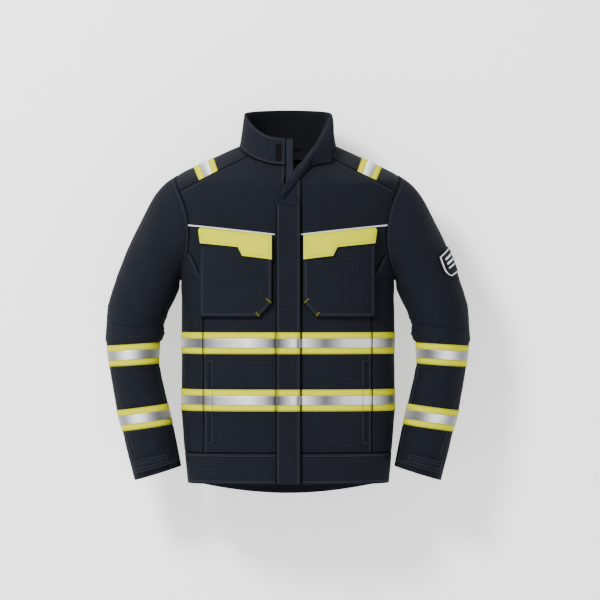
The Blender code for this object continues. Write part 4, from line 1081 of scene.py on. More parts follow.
def thread(kind, where):
    """The stitches or edges of one kind at one place, which become one mesh at the end."""
    return THREADS.setdefault((kind, where), Thread())


def stitch(kind, where, line, **how):
    """A row of stitches along a line that line_on has laid on the cloth."""
    thread(kind, where).stitches(*line, **how)


def edge_cord(kind, where, line, half_width, half_height):
    """A seam line or an edge along a line that line_on has laid on the cloth."""
    thread(kind, where).tube(*line, half_width, half_height)


def held_at(where):
    """How a piece is carried: by one body, or, at a shoulder or an elbow, with the joint given as a bend, which
    leaves the piece unparented with its transform baked in.
    """
    joint, _, name = where.partition("_")
    if joint == "elbow":
        return {"bend": elbow_bend(name, SIDES[name])}
    if joint == "shoulder":
        return {"bend": shoulder_bend(name, SIDES[name])}
    return {"body": where}


# Trim ------------------------------------------------------------------------

def add_painted_highlight(obj, values):
    """A painted highlight: a value from 0 to 1 at each point of the tape, which mixes its colour towards the light
    one.
    """
    attribute = obj.data.attributes.new("painted_highlight", "FLOAT", "POINT")
    attribute.data.foreach_set("value", np.asarray(values, np.float32) ** 1.7)


# Painted highlight along the body's silver tape: places across the front, in millimetres, and how bright the tape
# is painted at each.
TORSO_PAINTED_HIGHLIGHT = (
    (-233, 0.75), (-216, 0.35), (-193, 0.1), (-180, 0.25), (-150, 0.55), (-85, 0.95), (-50, 0.5), (-30, 0.1),
    (-17, 0.15), (14, 0.9), (24, 0.2), (32, 0.9), (60, 0.5), (82, 0.15), (125, 0.7), (180, 0.8), (205, 0.5),
    (231, 0.15),
)


# The body tape's painted highlight: from the table across the front, and in slow waves across the back.
def torso_painted_highlight(x, y):
    xs = [p[0] for p in TORSO_PAINTED_HIGHLIGHT]
    front = np.interp(x, xs, [p[1] for p in TORSO_PAINTED_HIGHLIGHT])
    return np.where(y < 0.0, front, 0.5 + 0.4 * np.sin(x / 38.0))


def band(name, surface, span, turns, low, high, width, side, painted_highlight, around, where, outward=1.0, **how):
    """A woven trim band: yellow cloth with a silver strip sewn along its middle."""
    how.update(held_at(where))
    edge = (1.0 - SILVER_WIDTH / width) / 2.0
    first, second = np.meshgrid(np.linspace(turns[0], turns[1], span), np.linspace(0.0, 1.0, 10))
    if around:
        first, second = first[:, :-1], second[:, :-1]
    points = surface(first, low + (high - low) * second, side, 1.0)
    base = sheet_grid(name + "_yellow", points, 0.8, YELLOW, around=around, outward=outward, **how)
    strip = edge + (1.0 - 2.0 * edge) * second
    points = surface(first, low + (high - low) * strip, side, 1.5)
    more = {k: value for k, value in how.items() if k != "node"}
    silver = sheet_grid(name + "_silver", points, 0.5, SILVER, around=around, outward=outward, **more)
    # The silver strip gets a painted highlight, one value at each point.
    values = painted_highlight(points.reshape(-1, 3), first.ravel(), second.ravel())
    add_painted_highlight(silver, np.concatenate([values, values]))
    rows = thread("yellow", where)
    for share in (0.03, edge - 0.03, 1.0 - edge + 0.03, 0.97):
        line_turn = np.linspace(turns[0], turns[1], span * 2)
        line = surface(line_turn, np.full(line_turn.shape, low + (high - low) * share), side, 1.15)
        lifted = surface(line_turn, np.full(line_turn.shape, low + (high - low) * share), side, 2.15)
        rows.stitches(line, lifted - line, half_width=0.35, half_height=0.25)
    return base, silver


def body_band(turn, height, side, out):
    return body_out(turn, height, out)


for level, bottom in TRIM_BOTTOMS.items():
    start_angle = float(front_place(np.array([28.5]), np.array([bottom]))[0][0])
    end_angle = float(front_place(np.array([-25.5]), np.array([bottom]))[0][0]) + math.tau
    # The silver strip takes the body table's painted highlight.
    band("body_trim_" + level, body_band, 300, (start_angle, end_angle), bottom, bottom + TRIM_WIDTH,
         TRIM_WIDTH, 1.0,
         lambda p, a, b: torso_painted_highlight(p[:, 0], p[:, 1]), False, "coat", slot="trim_tape",
         node="body_trim_" + level)


def sleeve_band(turn, share, side, out):
    return sleeve_out(share, turn, side, out)


# The sleeve tape's painted highlight: brighter and darker by where the tape faces round the sleeve.
def sleeve_painted_highlight(points, turn, share):
    across = np.cos(turn)
    front = np.sin(turn)
    return np.clip(0.55 + 0.4 * np.sin(across * 4.2 + 0.8) * (0.4 + 0.6 * np.abs(front)), 0.05, 1.0)


for side_name, side_sign in SIDES.items():
    for level, first, last in (("upper", 5, 6), ("lower", 7, 8)):
        # The silver strips take the sleeve's painted highlight.
        band("sleeve_trim_%s_%s" % (level, side_name), sleeve_band, 121, (0.0, math.tau), station_share(last),
             station_share(first), 47.0, side_sign, sleeve_painted_highlight, True, "elbow_" + side_name,
             outward=-side_sign, slot="trim_tape", node="sleeve_trim_%s_%s" % (level, side_name))


SHOULDER_TRIM = ((207.0, 723.0), (163.0, 744.0), (152.0, 712.0), (193.0, 692.0))


def shoulder_band(first, second, side, out):
    """The short trim on the shoulder: first runs up it and second runs inwards from its outer edge."""
    first, second = second, first
    (ax, az), (bx, bz), (cx, cz), (dx, dz) = SHOULDER_TRIM
    x = (dx + (cx - dx) * first) * (1.0 - second) + (ax + (bx - ax) * first) * second
    z = (dz + (cz - dz) * first) * (1.0 - second) + (az + (bz - az) * first) * second
    shape = np.broadcast(first, second).shape
    angle, height = front_place(np.broadcast_to(side * x, shape), np.broadcast_to(z, shape))
    return body_out(angle, height, out)


for side_name, side_sign in SIDES.items():
    # The shoulder tape's painted highlight grows brighter across the strip, from 0.25 to 1.
    band("shoulder_trim_" + side_name, shoulder_band, 24, (0.0, 1.0), 0.0, 1.0, TRIM_WIDTH, side_sign,
         lambda p, a, b: 0.25 + 0.75 * b, False, "coat", outward=side_sign, slot="trim_tape",
         node="shoulder_trim_" + side_name)


# Front closure ---------------------------------------------------------------

FLAP_LEFT = -25.0
FLAP_RIGHT = 28.0
FLAP_TOP_HEIGHT = 637.0


def storm_surface(x, z, out):
    x, z = np.broadcast_arrays(np.asarray(x, float), np.asarray(z, float))
    points = np.stack([x, np.full(x.shape, -BODY_HALF_DEPTH - 6.4), z], axis=-1)
    ease = soft_noise(points, 0.012, (1.0, 1.0, 0.5), 40.0) * 1.2
    free = np.clip((FLAP_RIGHT - x) / (FLAP_RIGHT - FLAP_LEFT), 0.0, 1.0)
    points[..., 1] -= out + np.abs(ease) * free * 0.8 - 0.5 * (1.0 - free)
    return points


def storm_top(x):
    return FLAP_TOP_HEIGHT + 0.0 * x


x, share = np.meshgrid(np.linspace(FLAP_LEFT, FLAP_RIGHT, 20), np.linspace(0.0, 1.0, 170))
z = FRONT_HEM + (storm_top(x) - FRONT_HEM) * share
STORM = sheet_grid("storm_flap_cloth", storm_surface(x, z, 0.0), 2.0, NAVY, outward=1.0, body="storm_flap",
                   slot="shell_cloth", node="storm_flap")
SHEETS.append(STORM)
for level, bottom in TRIM_BOTTOMS.items():
    # The silver strips take the body table's painted highlight.
    band("flap_trim_" + level, lambda a, b, side, out: storm_surface(a, b, out), 30, (FLAP_LEFT, FLAP_RIGHT),
         bottom,
         bottom + TRIM_WIDTH, TRIM_WIDTH, 1.0, lambda p, a, b: torso_painted_highlight(p[:, 0], p[:, 1]), False,
         "storm_flap", slot="trim_tape", node="flap_trim_" + level)


# Pockets ---------------------------------------------------------------------

POCKET_OUTLINE_TOP = 560.0
POCKET_INNER, POCKET_OUTER, POCKET_BOTTOM = 33.0, 187.0, 394.0
CHAMFER = (28.0, 31.0)
POCKET_LIFT = 9.6


def pocket_bottom(x):
    return np.where(x < POCKET_INNER + CHAMFER[0],
                    POCKET_BOTTOM + CHAMFER[1] * (POCKET_INNER + CHAMFER[0] - x) / CHAMFER[0], POCKET_BOTTOM)


def pocket_surface(x, share, side, out):
    """The patch pocket's face, which falls to the coat all round its edge."""
    bottom = pocket_bottom(x)
    z = bottom + (POCKET_OUTLINE_TOP - bottom) * share
    return pocket_face(x, z, side, out)


def pocket_face(x, z, side, out):
    bottom = pocket_bottom(x)
    edge = np.minimum(np.minimum(x - POCKET_INNER, POCKET_OUTER - x), (z - bottom) * 0.95)
    rise = np.clip(edge / 2.2, 0.0, 1.0)
    lift = POCKET_LIFT * np.sqrt(1.0 - (1.0 - rise) ** 2)
    points = np.stack([x + 0.0 * z, 0.0 * x - 100.0, z + 0.0 * x], axis=-1)
    sag = soft_noise(points, 0.018, (1.0, 1.0, 1.0), 50.0 + 3.0 * side) * 1.6 * rise
    belly = 2.2 * np.exp(-(((z - 440.0) / 40.0) ** 2)) * np.clip(edge / 25.0, 0.0, 1.0)
    return front_out(side * x, z, out + lift + sag + belly)


def pocket_columns():
    inner = POCKET_INNER + np.array([0.0, 0.2, 0.6, 1.2, 2.2])
    return np.concatenate([inner, np.linspace(POCKET_INNER + 4.0, POCKET_OUTER - 4.0, 56),
                           POCKET_OUTER - np.array([2.2, 1.2, 0.6, 0.2, 0.0])])


def make_pocket(name, side):
    rows = np.concatenate([np.array([0.0, 0.0015, 0.004, 0.008, 0.0145]), np.linspace(0.025, 1.0, 60)])
    x, share = np.meshgrid(pocket_columns(), rows)
    points = pocket_surface(x, share, side, 0.0)
    obj = sheet_grid("chest_pocket_%s_cloth" % name, points, 1.2, NAVY, outward=side, body="coat",
                     slot="shell_cloth", node="chest_pocket_" + name)
    SHEETS.append(obj)


FLAP_OUTLINE = ((34.0, 519.0), (97.0, 527.0), (106.0, 546.0), (185.0, 555.0))
FLAP_REST = 12.6


def flap_bottom(x):
    return line_height(FLAP_OUTLINE, x)


def flap_face(x, share, side, out):
    top = 573.0 + (589.0 - 573.0) * (x - 34.0) / 151.0
    bottom = flap_bottom(x)
    z = top + (bottom - top) * share
    wide = x + 5.0 * (1.0 - share) * np.clip((x - 120.0) / 65.0, 0.0, 1.0)
    lift = 1.2 + (FLAP_REST - 1.2) * np.minimum(1.0, share / 0.18) ** 0.8
    points = np.stack([wide, 0.0 * x, z], axis=-1)
    curl = soft_noise(points, 0.025, (1.0, 1.0, 1.0), 60.0 + side) * 1.2 * share
    return front_out(side * wide, z, out + lift + curl + 0.6 * share)


def make_pocket_flap(name, side):
    columns = np.concatenate([np.linspace(34.0, 97.0, 26), np.linspace(97.0, 106.0, 6)[1:],
                              np.linspace(106.0, 185.0, 32)[1:]])
    x, share = np.meshgrid(columns, np.linspace(1.0, 0.0, 26))
    points = flap_face(x, share, side, 0.0)
    obj = sheet_grid("pocket_flap_%s_cloth" % name, points, 1.6, YELLOW, outward=side,
                     body="pocket_flap_" + name,
                     slot="yellow_cloth", node="pocket_flap_" + name)
    SHEETS.append(obj)
    rows = thread("yellow", "pocket_flap_" + name)
    gap = 5.6
    inset = np.array([(34.0 + gap, 0.03), (34.0 + gap, 1.0 - gap / 54.0),
                      (97.0 - gap * 0.3, 1.0 - gap / 50.0),
                      (106.0 - gap * 0.3, 1.0 - gap / 36.0), (185.0 - gap, 1.0 - gap / 36.0),
                      (185.0 - gap, 0.03)])
    points, normals = line_on(lambda a, b, out: flap_face(a, b, side, out), dense(inset), 0.1)
    rows.stitches(points, normals, half_width=0.35)


for side_name, side_sign in SIDES.items():
    make_pocket(side_name, side_sign)
    make_pocket_flap(side_name, side_sign)


# Smaller pieces --------------------------------------------------------------

def front_surface(side):
    return lambda x, z, out: front_out(side * x, z, out)


for side_name, side_sign in SIDES.items():
    path = dense([(217.0, 594.0), (27.5, 573.0)])
    points, normals = line_on(front_surface(side_sign), path, 0.9)
    piping = Thread()
    piping.tube(points, normals, 1.5, 1.2)
    new_piece("chest_piping_%s_cord" % side_name, piping.vertices, piping.faces, WHITE, piping.uvs,
              body="coat",
              slot="white_piping", node="chest_piping_" + side_name)


LOW_STATION = station_share(8)
TAB_SHARES = (LOW_STATION + (1.0 - LOW_STATION) * 0.60, LOW_STATION + (1.0 - LOW_STATION) * 0.90)


def rounded_span(turn, low, high, first, last, corner):
    """How far in from its long edges a strip's end is rounded."""
    left = np.clip((turn - first) / corner, 0.0, 1.0)
    right = np.clip((last - turn) / corner, 0.0, 1.0)
    ease = np.minimum(left, right)
    cut = (1.0 - np.sqrt(1.0 - (1.0 - ease) ** 2)) * 0.35 * (high - low)
    return low + cut, high - cut


for side_name, side_sign in SIDES.items():
    first, last = math.radians(38.0), math.radians(122.0)
    turn, share = np.meshgrid(np.linspace(first, last, 40), np.linspace(0.0, 1.0, 12))
    low, high = rounded_span(turn, TAB_SHARES[0], TAB_SHARES[1], first, last, 0.12)
    points = sleeve_out(low + (high - low) * share, turn, side_sign, 3.6)
    sheet_grid("cuff_tab_%s_cloth" % side_name, points, 1.8, NAVY, outward=side_sign,
               body="cuff_tab_" + side_name, slot="shell_cloth", node="cuff_tab_" + side_name)
    turn, share = np.meshgrid(np.linspace(1.4, 2.02, 20),
                              np.linspace(TAB_SHARES[0] + 0.005, TAB_SHARES[1] - 0.005, 10))
    sheet_grid("cuff_loop_patch_%s_cloth" % side_name, sleeve_out(share, turn, side_sign, 1.2), 1.0, HOOK,
               outward=side_sign, slot="hook_fabric", node="cuff_loop_patch_" + side_name,
               **held_at("elbow_" + side_name))
    rows = thread("grey", "cuff_tab_" + side_name)
    for inset in (0.010, 0.022):
        outline = [(first + inset * 1.6, TAB_SHARES[0] + inset), (last - inset * 1.6, TAB_SHARES[0] + inset),
                   (last - inset * 1.6, TAB_SHARES[1] - inset), (first + inset * 1.6, TAB_SHARES[1] - inset),
                   (first + inset * 1.6, TAB_SHARES[0] + inset)]
        points, normals = line_on(lambda a, b, out: sleeve_out(b, a, side_sign, out), dense(outline, 10),
                                  3.75, 2.0)
        rows.stitches(points, normals, length=2.2, gap=1.0, half_width=0.3, half_height=0.22)


def badge_surface(a, b, out):
    """A shield on the left sleeve: a runs across it from -1 to 1, and b down it from 0 to 1."""
    low = station_share(1) - 0.010
    high = station_share(1) + 0.078
    width = np.where(b < 0.55, 25.0 + 2.0 * np.sin(b * math.pi),
                     27.0 * np.sqrt(np.clip(1.0 - ((b - 0.55) / 0.47) ** 2, 0.0, 1.0)))
    top = 0.012 * np.cos(a * math.pi)
    share = low + (high - low) * (b + (1.0 - b) * top)
    return sleeve_out(share, np.radians(30.0 + a * width), 1.0, out)


def scaled_badge(name, scale, out, material, **how):
    a, b = np.meshgrid(np.linspace(-scale, scale, 30), 0.48 + (np.linspace(0.0, 1.0, 36) - 0.48) * scale)
    sheet_grid(name, badge_surface(a, b, out), 0.7, material, outward=-1.0, **how)


scaled_badge("sleeve_badge_ground", 1.0, 2.4, BADGE_FACE, slot="badge_cloth", node="sleeve_badge",
             **held_at("shoulder_left"))
scaled_badge("sleeve_badge_rim", 0.90, 2.7, WHITE, **held_at("shoulder_left"))
scaled_badge("sleeve_badge_field", 0.80, 3.0, BADGE_FACE, **held_at("shoulder_left"))
for k, (b_low, b_high) in enumerate(((0.24, 0.32), (0.42, 0.50), (0.60, 0.66))):
    a, b = np.meshgrid(np.linspace(-0.5, 0.5, 16), np.linspace(b_low, b_high, 4))
    sheet_grid("sleeve_badge_bar_%d" % (k + 1), badge_surface(a, b, 3.4), 0.6, WHITE, outward=-1.0,
               **held_at("shoulder_left"))

HOOK_BOX = ((-28.0, 732.0), (-12.0, 772.0))
x, z = np.meshgrid(np.linspace(HOOK_BOX[0][0], HOOK_BOX[1][0], 10),
                   np.linspace(HOOK_BOX[0][1], HOOK_BOX[1][1], 22))
sheet_grid("collar_hook_patch_cloth", collar_front(x, z, 1.2), 1.1, HOOK, outward=1.0, body="coat",
           slot="hook_fabric", node="collar_hook_patch")
rows = thread("grey", "coat")
outline = [(-27.0, 733.0), (-13.0, 733.0), (-13.0, 771.0), (-27.0, 771.0), (-27.0, 733.0)]
points, normals = line_on(collar_front, dense(outline, 8), 1.35, 1.5)
rows.stitches(points, normals, length=1.8, gap=0.9, half_width=0.22, half_height=0.2)

for side_name, side_sign in SIDES.items():
    x, z = np.meshgrid(np.linspace(161.0, 179.0, 8), np.linspace(118.0, 301.0, 60))
    inside_trim = np.clip(1.0 - np.abs(z - 213.5) / 26.0, 0.0, 1.0)
    sheet_grid("hand_pocket_welt_%s_cloth" % side_name,
               front_out(side_sign * x, z, 0.9 - 2.0 * (inside_trim > 0.0)), 1.0, NAVY,
                     outward=side_sign, body="coat", slot="shell_cloth", node="hand_pocket_welt_" + side_name)
    for x0 in (162.6, 177.4):
        points, normals = line_on(front_surface(side_sign), dense([(x0, 120.0), (x0, 299.0)]), 1.0)
        for part in (points[:, 2] < TRIM_BOTTOMS["lower"] - 1.0,
                     points[:, 2] > TRIM_BOTTOMS["lower"] + TRIM_WIDTH + 1.0):
            thread("grey", "coat").stitches(points[part], normals[part])
    for z0 in (120.0, 299.0):
        stitch("grey", "coat", line_on(front_surface(side_sign), dense([(162.6, z0), (177.4, z0)]), 1.0))
    edge_cord("black", "coat", line_on(front_surface(side_sign),
                                       dense([(170.0, 122.0), (170.0, TRIM_BOTTOMS["lower"] - 1.0)]), 0.95),
                                       0.8, 0.4)
    edge_cord("black", "coat", line_on(front_surface(side_sign), dense([(170.0, 238.0), (170.0, 297.0)]),
                                       0.95), 0.8, 0.4)


# Seams and topstitching --------------------------------------------------------

ARMHOLE_TURN = math.radians(172.0)
CUFF_TURN = math.radians(179.0)
BELOW_TRIM = 189.0
BETWEEN_TRIMS = (238.0, 313.0)
ABOVE_TRIM = 362.0

def seam(surface, path, where, out=0.35, rows=(3.4, 6.2), edge=True, edge_width=1.3):
    """A dark seam line, with rows of grey stitches beside it."""
    path = dense(path)
    if edge:
        edge_cord("black", where, line_on(surface, path, out - 0.35), edge_width, 0.55)
    for gap in rows:
        stitch("grey", where, line_on(surface, beside(path, gap), out))


for side_name, side_sign in SIDES.items():
    face = front_surface(side_sign)
    seam(face, [(SIDE_SEAM, HEM_BAND_TOP), (SIDE_SEAM, BELOW_TRIM)], "coat", rows=(-3.2, -6.0))
    seam(face, [(SIDE_SEAM, BETWEEN_TRIMS[0]), (SIDE_SEAM, BETWEEN_TRIMS[1])], "coat", rows=(-3.2, -6.0))
    seam(face, [(SIDE_SEAM, ABOVE_TRIM), (SIDE_SEAM, 396.0)], "coat", rows=())
    for bottom in TRIM_BOTTOMS.values():
        seam(face, [(SIDE_SEAM, bottom - 1.0), (SIDE_SEAM, bottom + TRIM_WIDTH + 1.0)], "coat", out=2.2,
             rows=())
    for x0 in (162.6, 179.0):
        stitch("black", "coat", line_on(face, dense([(x0, 190.5), (x0, 236.5)]), 2.1))
    stitch("black", "coat", line_on(face, dense([(180.0, 314.5), (180.0, 360.5)]), 2.1))
    seam(face, [(188.0, 484.0), (212.0, 532.0)], "coat", out=0.7, rows=(3.4, 6.2))
    seam(face, [(234.0, 670.0), (95.0, 741.5), (76.0, 751.5)], "coat", rows=(-3.4, -6.2))
    seam(face, [(26.0 if side_sign < 0.0 else 30.0, HEM_BAND_TOP), (220.0, HEM_BAND_TOP)], "coat",
         rows=(3.2, 6.0))
    seam(face, [(218.0, 597.5), (34.0, 577.5)], "coat", edge=False, rows=(-0.5, -3.2))
    seam(face, [(28.0, 34.0), (217.0, 34.0)], "coat", edge=False, rows=(-1.5, -4.2))
    pocket_edge = [(POCKET_OUTER, 545.0), (POCKET_OUTER, POCKET_BOTTOM),
                   (POCKET_INNER + CHAMFER[0], POCKET_BOTTOM),
                   (POCKET_INNER, POCKET_BOTTOM + CHAMFER[1]), (POCKET_INNER, 520.0)]
    edge_cord("black", "coat", line_on(front_surface(side_sign), dense(pocket_edge), 0.2), 1.3, 1.0)
    for inset in (4.6, 7.4):
        outline = [(POCKET_OUTER - inset, 548.0), (POCKET_OUTER - inset, POCKET_BOTTOM + inset),
                   (POCKET_INNER + CHAMFER[0] + inset * 0.45, POCKET_BOTTOM + inset),
                   (POCKET_INNER + inset, POCKET_BOTTOM + CHAMFER[1] + inset * 0.45),
                   (POCKET_INNER + inset, 522.0)]
        stitch("grey", "coat", line_on(lambda a, b, out: pocket_face(a, b, side_sign, out), dense(outline),
                                       0.1))
    for (x0, z0), (x1, z1) in (((35.5, 425.0), (46.0, 434.0)), ((61.0, 396.0), (68.0, 405.0))):
        for k in range(3):
            shift = (k - 1.0) * 0.75
            line = dense([(x0 + shift * 0.65, z0 - shift * 0.7), (x1 + shift * 0.65, z1 - shift * 0.7)], 6)
            edge_cord("yellow", "coat", line_on(lambda a, b, out: pocket_face(a, b, side_sign, out), line,
                                                0.35, 1.0), 0.5, 0.45)
    where = "shoulder_" + side_name
    outer = lambda a, b, out: head_surface(b, a, side_sign, out)
    edge_cord("black", where, line_on(outer,
                                      dense([(-ARMHOLE_TURN, 0.012), (ARMHOLE_TURN, 0.012)],
                                            60), 0.2), 1.1, 0.8)
    for share in (0.035, 0.062):
        stitch("grey", where, line_on(outer,
                                      dense([(-ARMHOLE_TURN, share), (ARMHOLE_TURN, share)],
                                            60), 0.35))
    lower = lambda a, b, out: sleeve_out(b, a, side_sign, out)
    where = "elbow_" + side_name
    for share in (0.962, 0.972):
        stitch("grey", where, line_on(lower,
                                      dense([(-CUFF_TURN, share), (CUFF_TURN, share)],
                                            60), 0.3))
    for start_turn, end_turn, low, high in (
        (22.0, 34.0, station_share(6) + 0.012, station_share(7) - 0.006),
        (36.0, 40.0, station_share(8) + 0.006, TAB_SHARES[0] - 0.01),
        (150.0, 150.0, station_share(6) + 0.012, station_share(7) - 0.006),
        (150.0, 150.0, station_share(8) + 0.006, 0.955),
    ):
        line = dense([(math.radians(start_turn), low), (math.radians(end_turn), high)])
        edge_cord("black", where, line_on(lower, line, 0.0), 1.0, 0.55)
        for gap in (0.052, 0.098):
            stitch("grey", where, line_on(lower, line + np.array([gap, 0.0]), 0.3))

for gaps, x0 in (((0.0, 2.8), FLAP_RIGHT - 3.0), ((0.0, -2.8), FLAP_LEFT + 3.0)):
    for gap in gaps:
        for low, high in ((FRONT_HEM + 3.0, 188.0), (239.0, 312.0), (363.0, 640.0)):
            stitch("grey", "storm_flap",
                   line_on(storm_surface, dense([(x0 - gap, low), (x0 - gap, high)]), 0.1))
# Dark lines along the flap's long edges: painted shadow along its free edge at FLAP_LEFT, and a dark joint line
# along its sewn edge at FLAP_RIGHT.
for x0 in (FLAP_LEFT + 0.6, FLAP_RIGHT - 0.6):
    edge_cord("black", "storm_flap", line_on(storm_surface, dense([(x0, FRONT_HEM + 0.5), (x0, 636.5)]),
                                             -0.4), 1.1, 1.9)
for x0 in (FLAP_LEFT + 3.0, FLAP_LEFT + 5.8, FLAP_RIGHT - 3.0, FLAP_RIGHT - 5.8):
    for bottom in TRIM_BOTTOMS.values():
        stitch("black", "storm_flap", line_on(storm_surface,
                                              dense([(x0, bottom + 0.5), (x0, bottom + TRIM_WIDTH - 0.5)]),
                                              2.0), half_width=0.3)
edge_cord("black", "coat", line_on(front_out,
                                   dense([(FLAP_RIGHT + 1.6, FRONT_HEM), (FLAP_RIGHT + 1.6, 645.0)]), 0.6),
                                   1.1, 0.9)

# The right front edge and collar edge, above the storm flap
for gap in (3.4, 6.2):
    stitch("grey", "coat", line_on(front_out,
                                   dense([(-FRONT_EDGE - gap, 655.0), (-FRONT_EDGE - gap, 722.0)]), 0.3))
for gap in (3.0, 5.8):
    turns = np.linspace(-math.pi / 2.0 - 0.09 - gap / 100.0, -1.5 * math.pi, 120)
    stitch("grey", "coat", line_on(collar_out, level_run(turns, 1.0 - gap / 66.0), COLLAR_THICKNESS / 2.0 + 0.3))
    turns = np.linspace(-0.42, math.pi / 2.0, 80)
    stitch("grey", "coat", line_on(collar_out, level_run(turns, 1.0 - gap / 66.0), COLLAR_THICKNESS / 2.0 + 0.3))
    shares = np.linspace(0.06, 0.96, 30)
    path = np.stack([np.full(shares.shape, -math.pi / 2.0 - 0.05 - gap / 104.0), shares], axis=1)
    stitch("grey", "coat", line_on(collar_out, path, COLLAR_THICKNESS / 2.0 + 0.3))
for low, high in ((-1.5 * math.pi, -math.pi / 2.0 - 0.06), (-0.9, math.pi / 2.0)):
    turns = np.linspace(low, high, 120)
    edge_cord("black", "coat", line_on(collar_out, level_run(turns, 0.012), COLLAR_THICKNESS / 2.0 + 0.1), 1.1, 0.9)
    for share in (0.05, 0.085):
        stitch("grey", "coat", line_on(collar_out, level_run(turns, share), COLLAR_THICKNESS / 2.0 + 0.3))
for gap in (0.075, 0.135):
    line = dense([(LAPEL_START + 0.05, 1.0 - gap * 1.1), (0.62, 1.0 - gap), (0.985, 1.0 - gap * 0.9)], 40)
    stitch("grey", "collar_lapel", line_on(lapel_surface, line, 1.1))
box = [(0.70, 0.865), (0.70, 0.60), (0.97, 0.58), (0.97, 0.865)]
stitch("grey", "collar_lapel", line_on(lapel_surface, dense(box, 16), 1.1))


# The storm flap's sewn top, the zip's top end and the edges of the folded corner ----

def storm_head_top(x):
    return line_height(LAPEL_EDGE[:4], x) + 4.0


x, share = np.meshgrid(np.linspace(FLAP_LEFT, FLAP_RIGHT, 20), np.linspace(0.0, 1.0, 20))
z = FLAP_TOP_HEIGHT + 0.4 + (np.maximum(storm_head_top(x),
                                        FLAP_TOP_HEIGHT + 3.0) - FLAP_TOP_HEIGHT - 0.4) * share
points = storm_surface(x, np.full(x.shape, FLAP_TOP_HEIGHT), 0.0)
points[..., 2] = z
cover = front_out(x, z, 4.6)
rising = np.clip((z - FLAP_TOP_HEIGHT) / 30.0, 0.0, 1.0)
points[..., 1] = points[..., 1] + (cover[..., 1] - points[..., 1]) * rising
sheet_grid("storm_flap_head_cloth", points, 1.8, NAVY, outward=1.0, body="coat", slot="shell_cloth")
for gap in (3.0, 5.8):
    stitch("grey", "coat", line_on(front_out, dense([(FLAP_RIGHT - gap, 640.0), (FLAP_RIGHT - gap, 688.0)]),
                                   5.0))
edge_cord("black", "coat", line_on(front_out, dense([(FLAP_RIGHT + 1.0, 645.0), (FLAP_RIGHT + 1.0, 692.0)]),
                                   1.5), 1.2, 2.4)
TAPE_END = (652.0, 784.0)
x, z = np.meshgrid(np.linspace(-5.5, 12.5, 8), np.linspace(*TAPE_END, 24))
sheet_grid("zip_tape_end_652", coat_front(x, z, -2.4), 1.0, TAPE, outward=1.0, body="coat",
           slot="shell_cloth")
for x0, width in ((12.5, 0.9), (-4.6, 1.1)):
    edge_cord("black", "coat", line_on(coat_front, dense([(x0, TAPE_END[0]), (x0, TAPE_END[1])]), -2.2),
              width, 0.7)
edge_cord("black", "coat", line_on(collar_front, dense([(-5.0, 784.0), (12.5, 784.0)], 8), -2.2), 0.9, 0.7)
# Dark lines along the folded corner's fold, free edge and top end: painted shade where it turns and lies over the
# coat.
for v_edge, u_low in ((0.995, LAPEL_START + 0.01), (0.004, LAPEL_START + 0.01)):
    edge_cord("black", "collar_lapel", line_on(lapel_surface, dense([(u_low, v_edge), (0.998, v_edge)], 60),
                                               0.7), 1.1, 0.9)
edge_cord("black", "collar_lapel", line_on(lapel_surface, dense([(0.996, 0.02), (0.996, 0.99)], 40), 0.7),
          1.1, 0.9)
edge_cord("black", "collar_lapel", line_on(lapel_surface, dense([(0.66, 0.99), (0.66, 0.12)], 30), 0.9), 0.9,
          0.5)
turns = np.linspace(0.02, math.pi - 0.02, 80)
edge_cord("black", "coat", line_on(lining_surface, level_run(turns, -0.02), 0.6), 0.9, 0.7)
for gap in (0.06, 0.10):
    stitch("grey", "coat", line_on(lining_surface, level_run(turns, 1.0 - gap), 0.4))
path = np.stack([np.linspace(-1.5 * math.pi, -math.pi / 2.0 - 0.06, 120), np.full(120, 0.99)], axis=1)
edge_cord("black", "coat", line_on(collar_out, path, 0.4), 1.5, 1.1)
path = np.stack([np.linspace(-0.35, math.pi / 2.0, 70), np.full(70, 0.99)], axis=1)
edge_cord("black", "coat", line_on(collar_out, path, 0.4), 1.5, 1.1)
path = np.stack([np.full(30, -math.pi / 2.0 - 0.052), np.linspace(0.02, 0.99, 30)], axis=1)
edge_cord("black", "coat", line_on(collar_out, path, 0.6), 0.9, 1.0)


def back_surface(side):
    def place_on_back(x, z, out):
        angle, height = front_place(x, z)
        return body_out(np.where(side > 0.0, -angle, math.pi + angle), height, out)
    return place_on_back


for side_name, side_sign in SIDES.items():
    face = back_surface(side_sign)
    seam(face, [(SIDE_SEAM, HEM_BAND_TOP), (SIDE_SEAM, BELOW_TRIM)], "coat")
    seam(face, [(SIDE_SEAM, BETWEEN_TRIMS[0]), (SIDE_SEAM, BETWEEN_TRIMS[1])], "coat")
    seam(face, [(SIDE_SEAM, ABOVE_TRIM), (SIDE_SEAM, SIDE_SEAM_TOP), SIDE_SEAM_ARMHOLE], "coat")
    seam(face, [(234.0, 664.0), (84.0, 741.0)], "coat", rows=(-3.4, -6.2))
    seam(face, [(0.5, HEM_BAND_TOP), (222.0, HEM_BAND_TOP)], "coat", rows=(3.2, 6.0))


# Zip ---------------------------------------------------------------------------

ZIP_FACE = -BODY_HALF_DEPTH + SHELL_THICKNESS + 0.5
ZIP_BOTTOM = 44.0
ZIP_TOP = 632.0


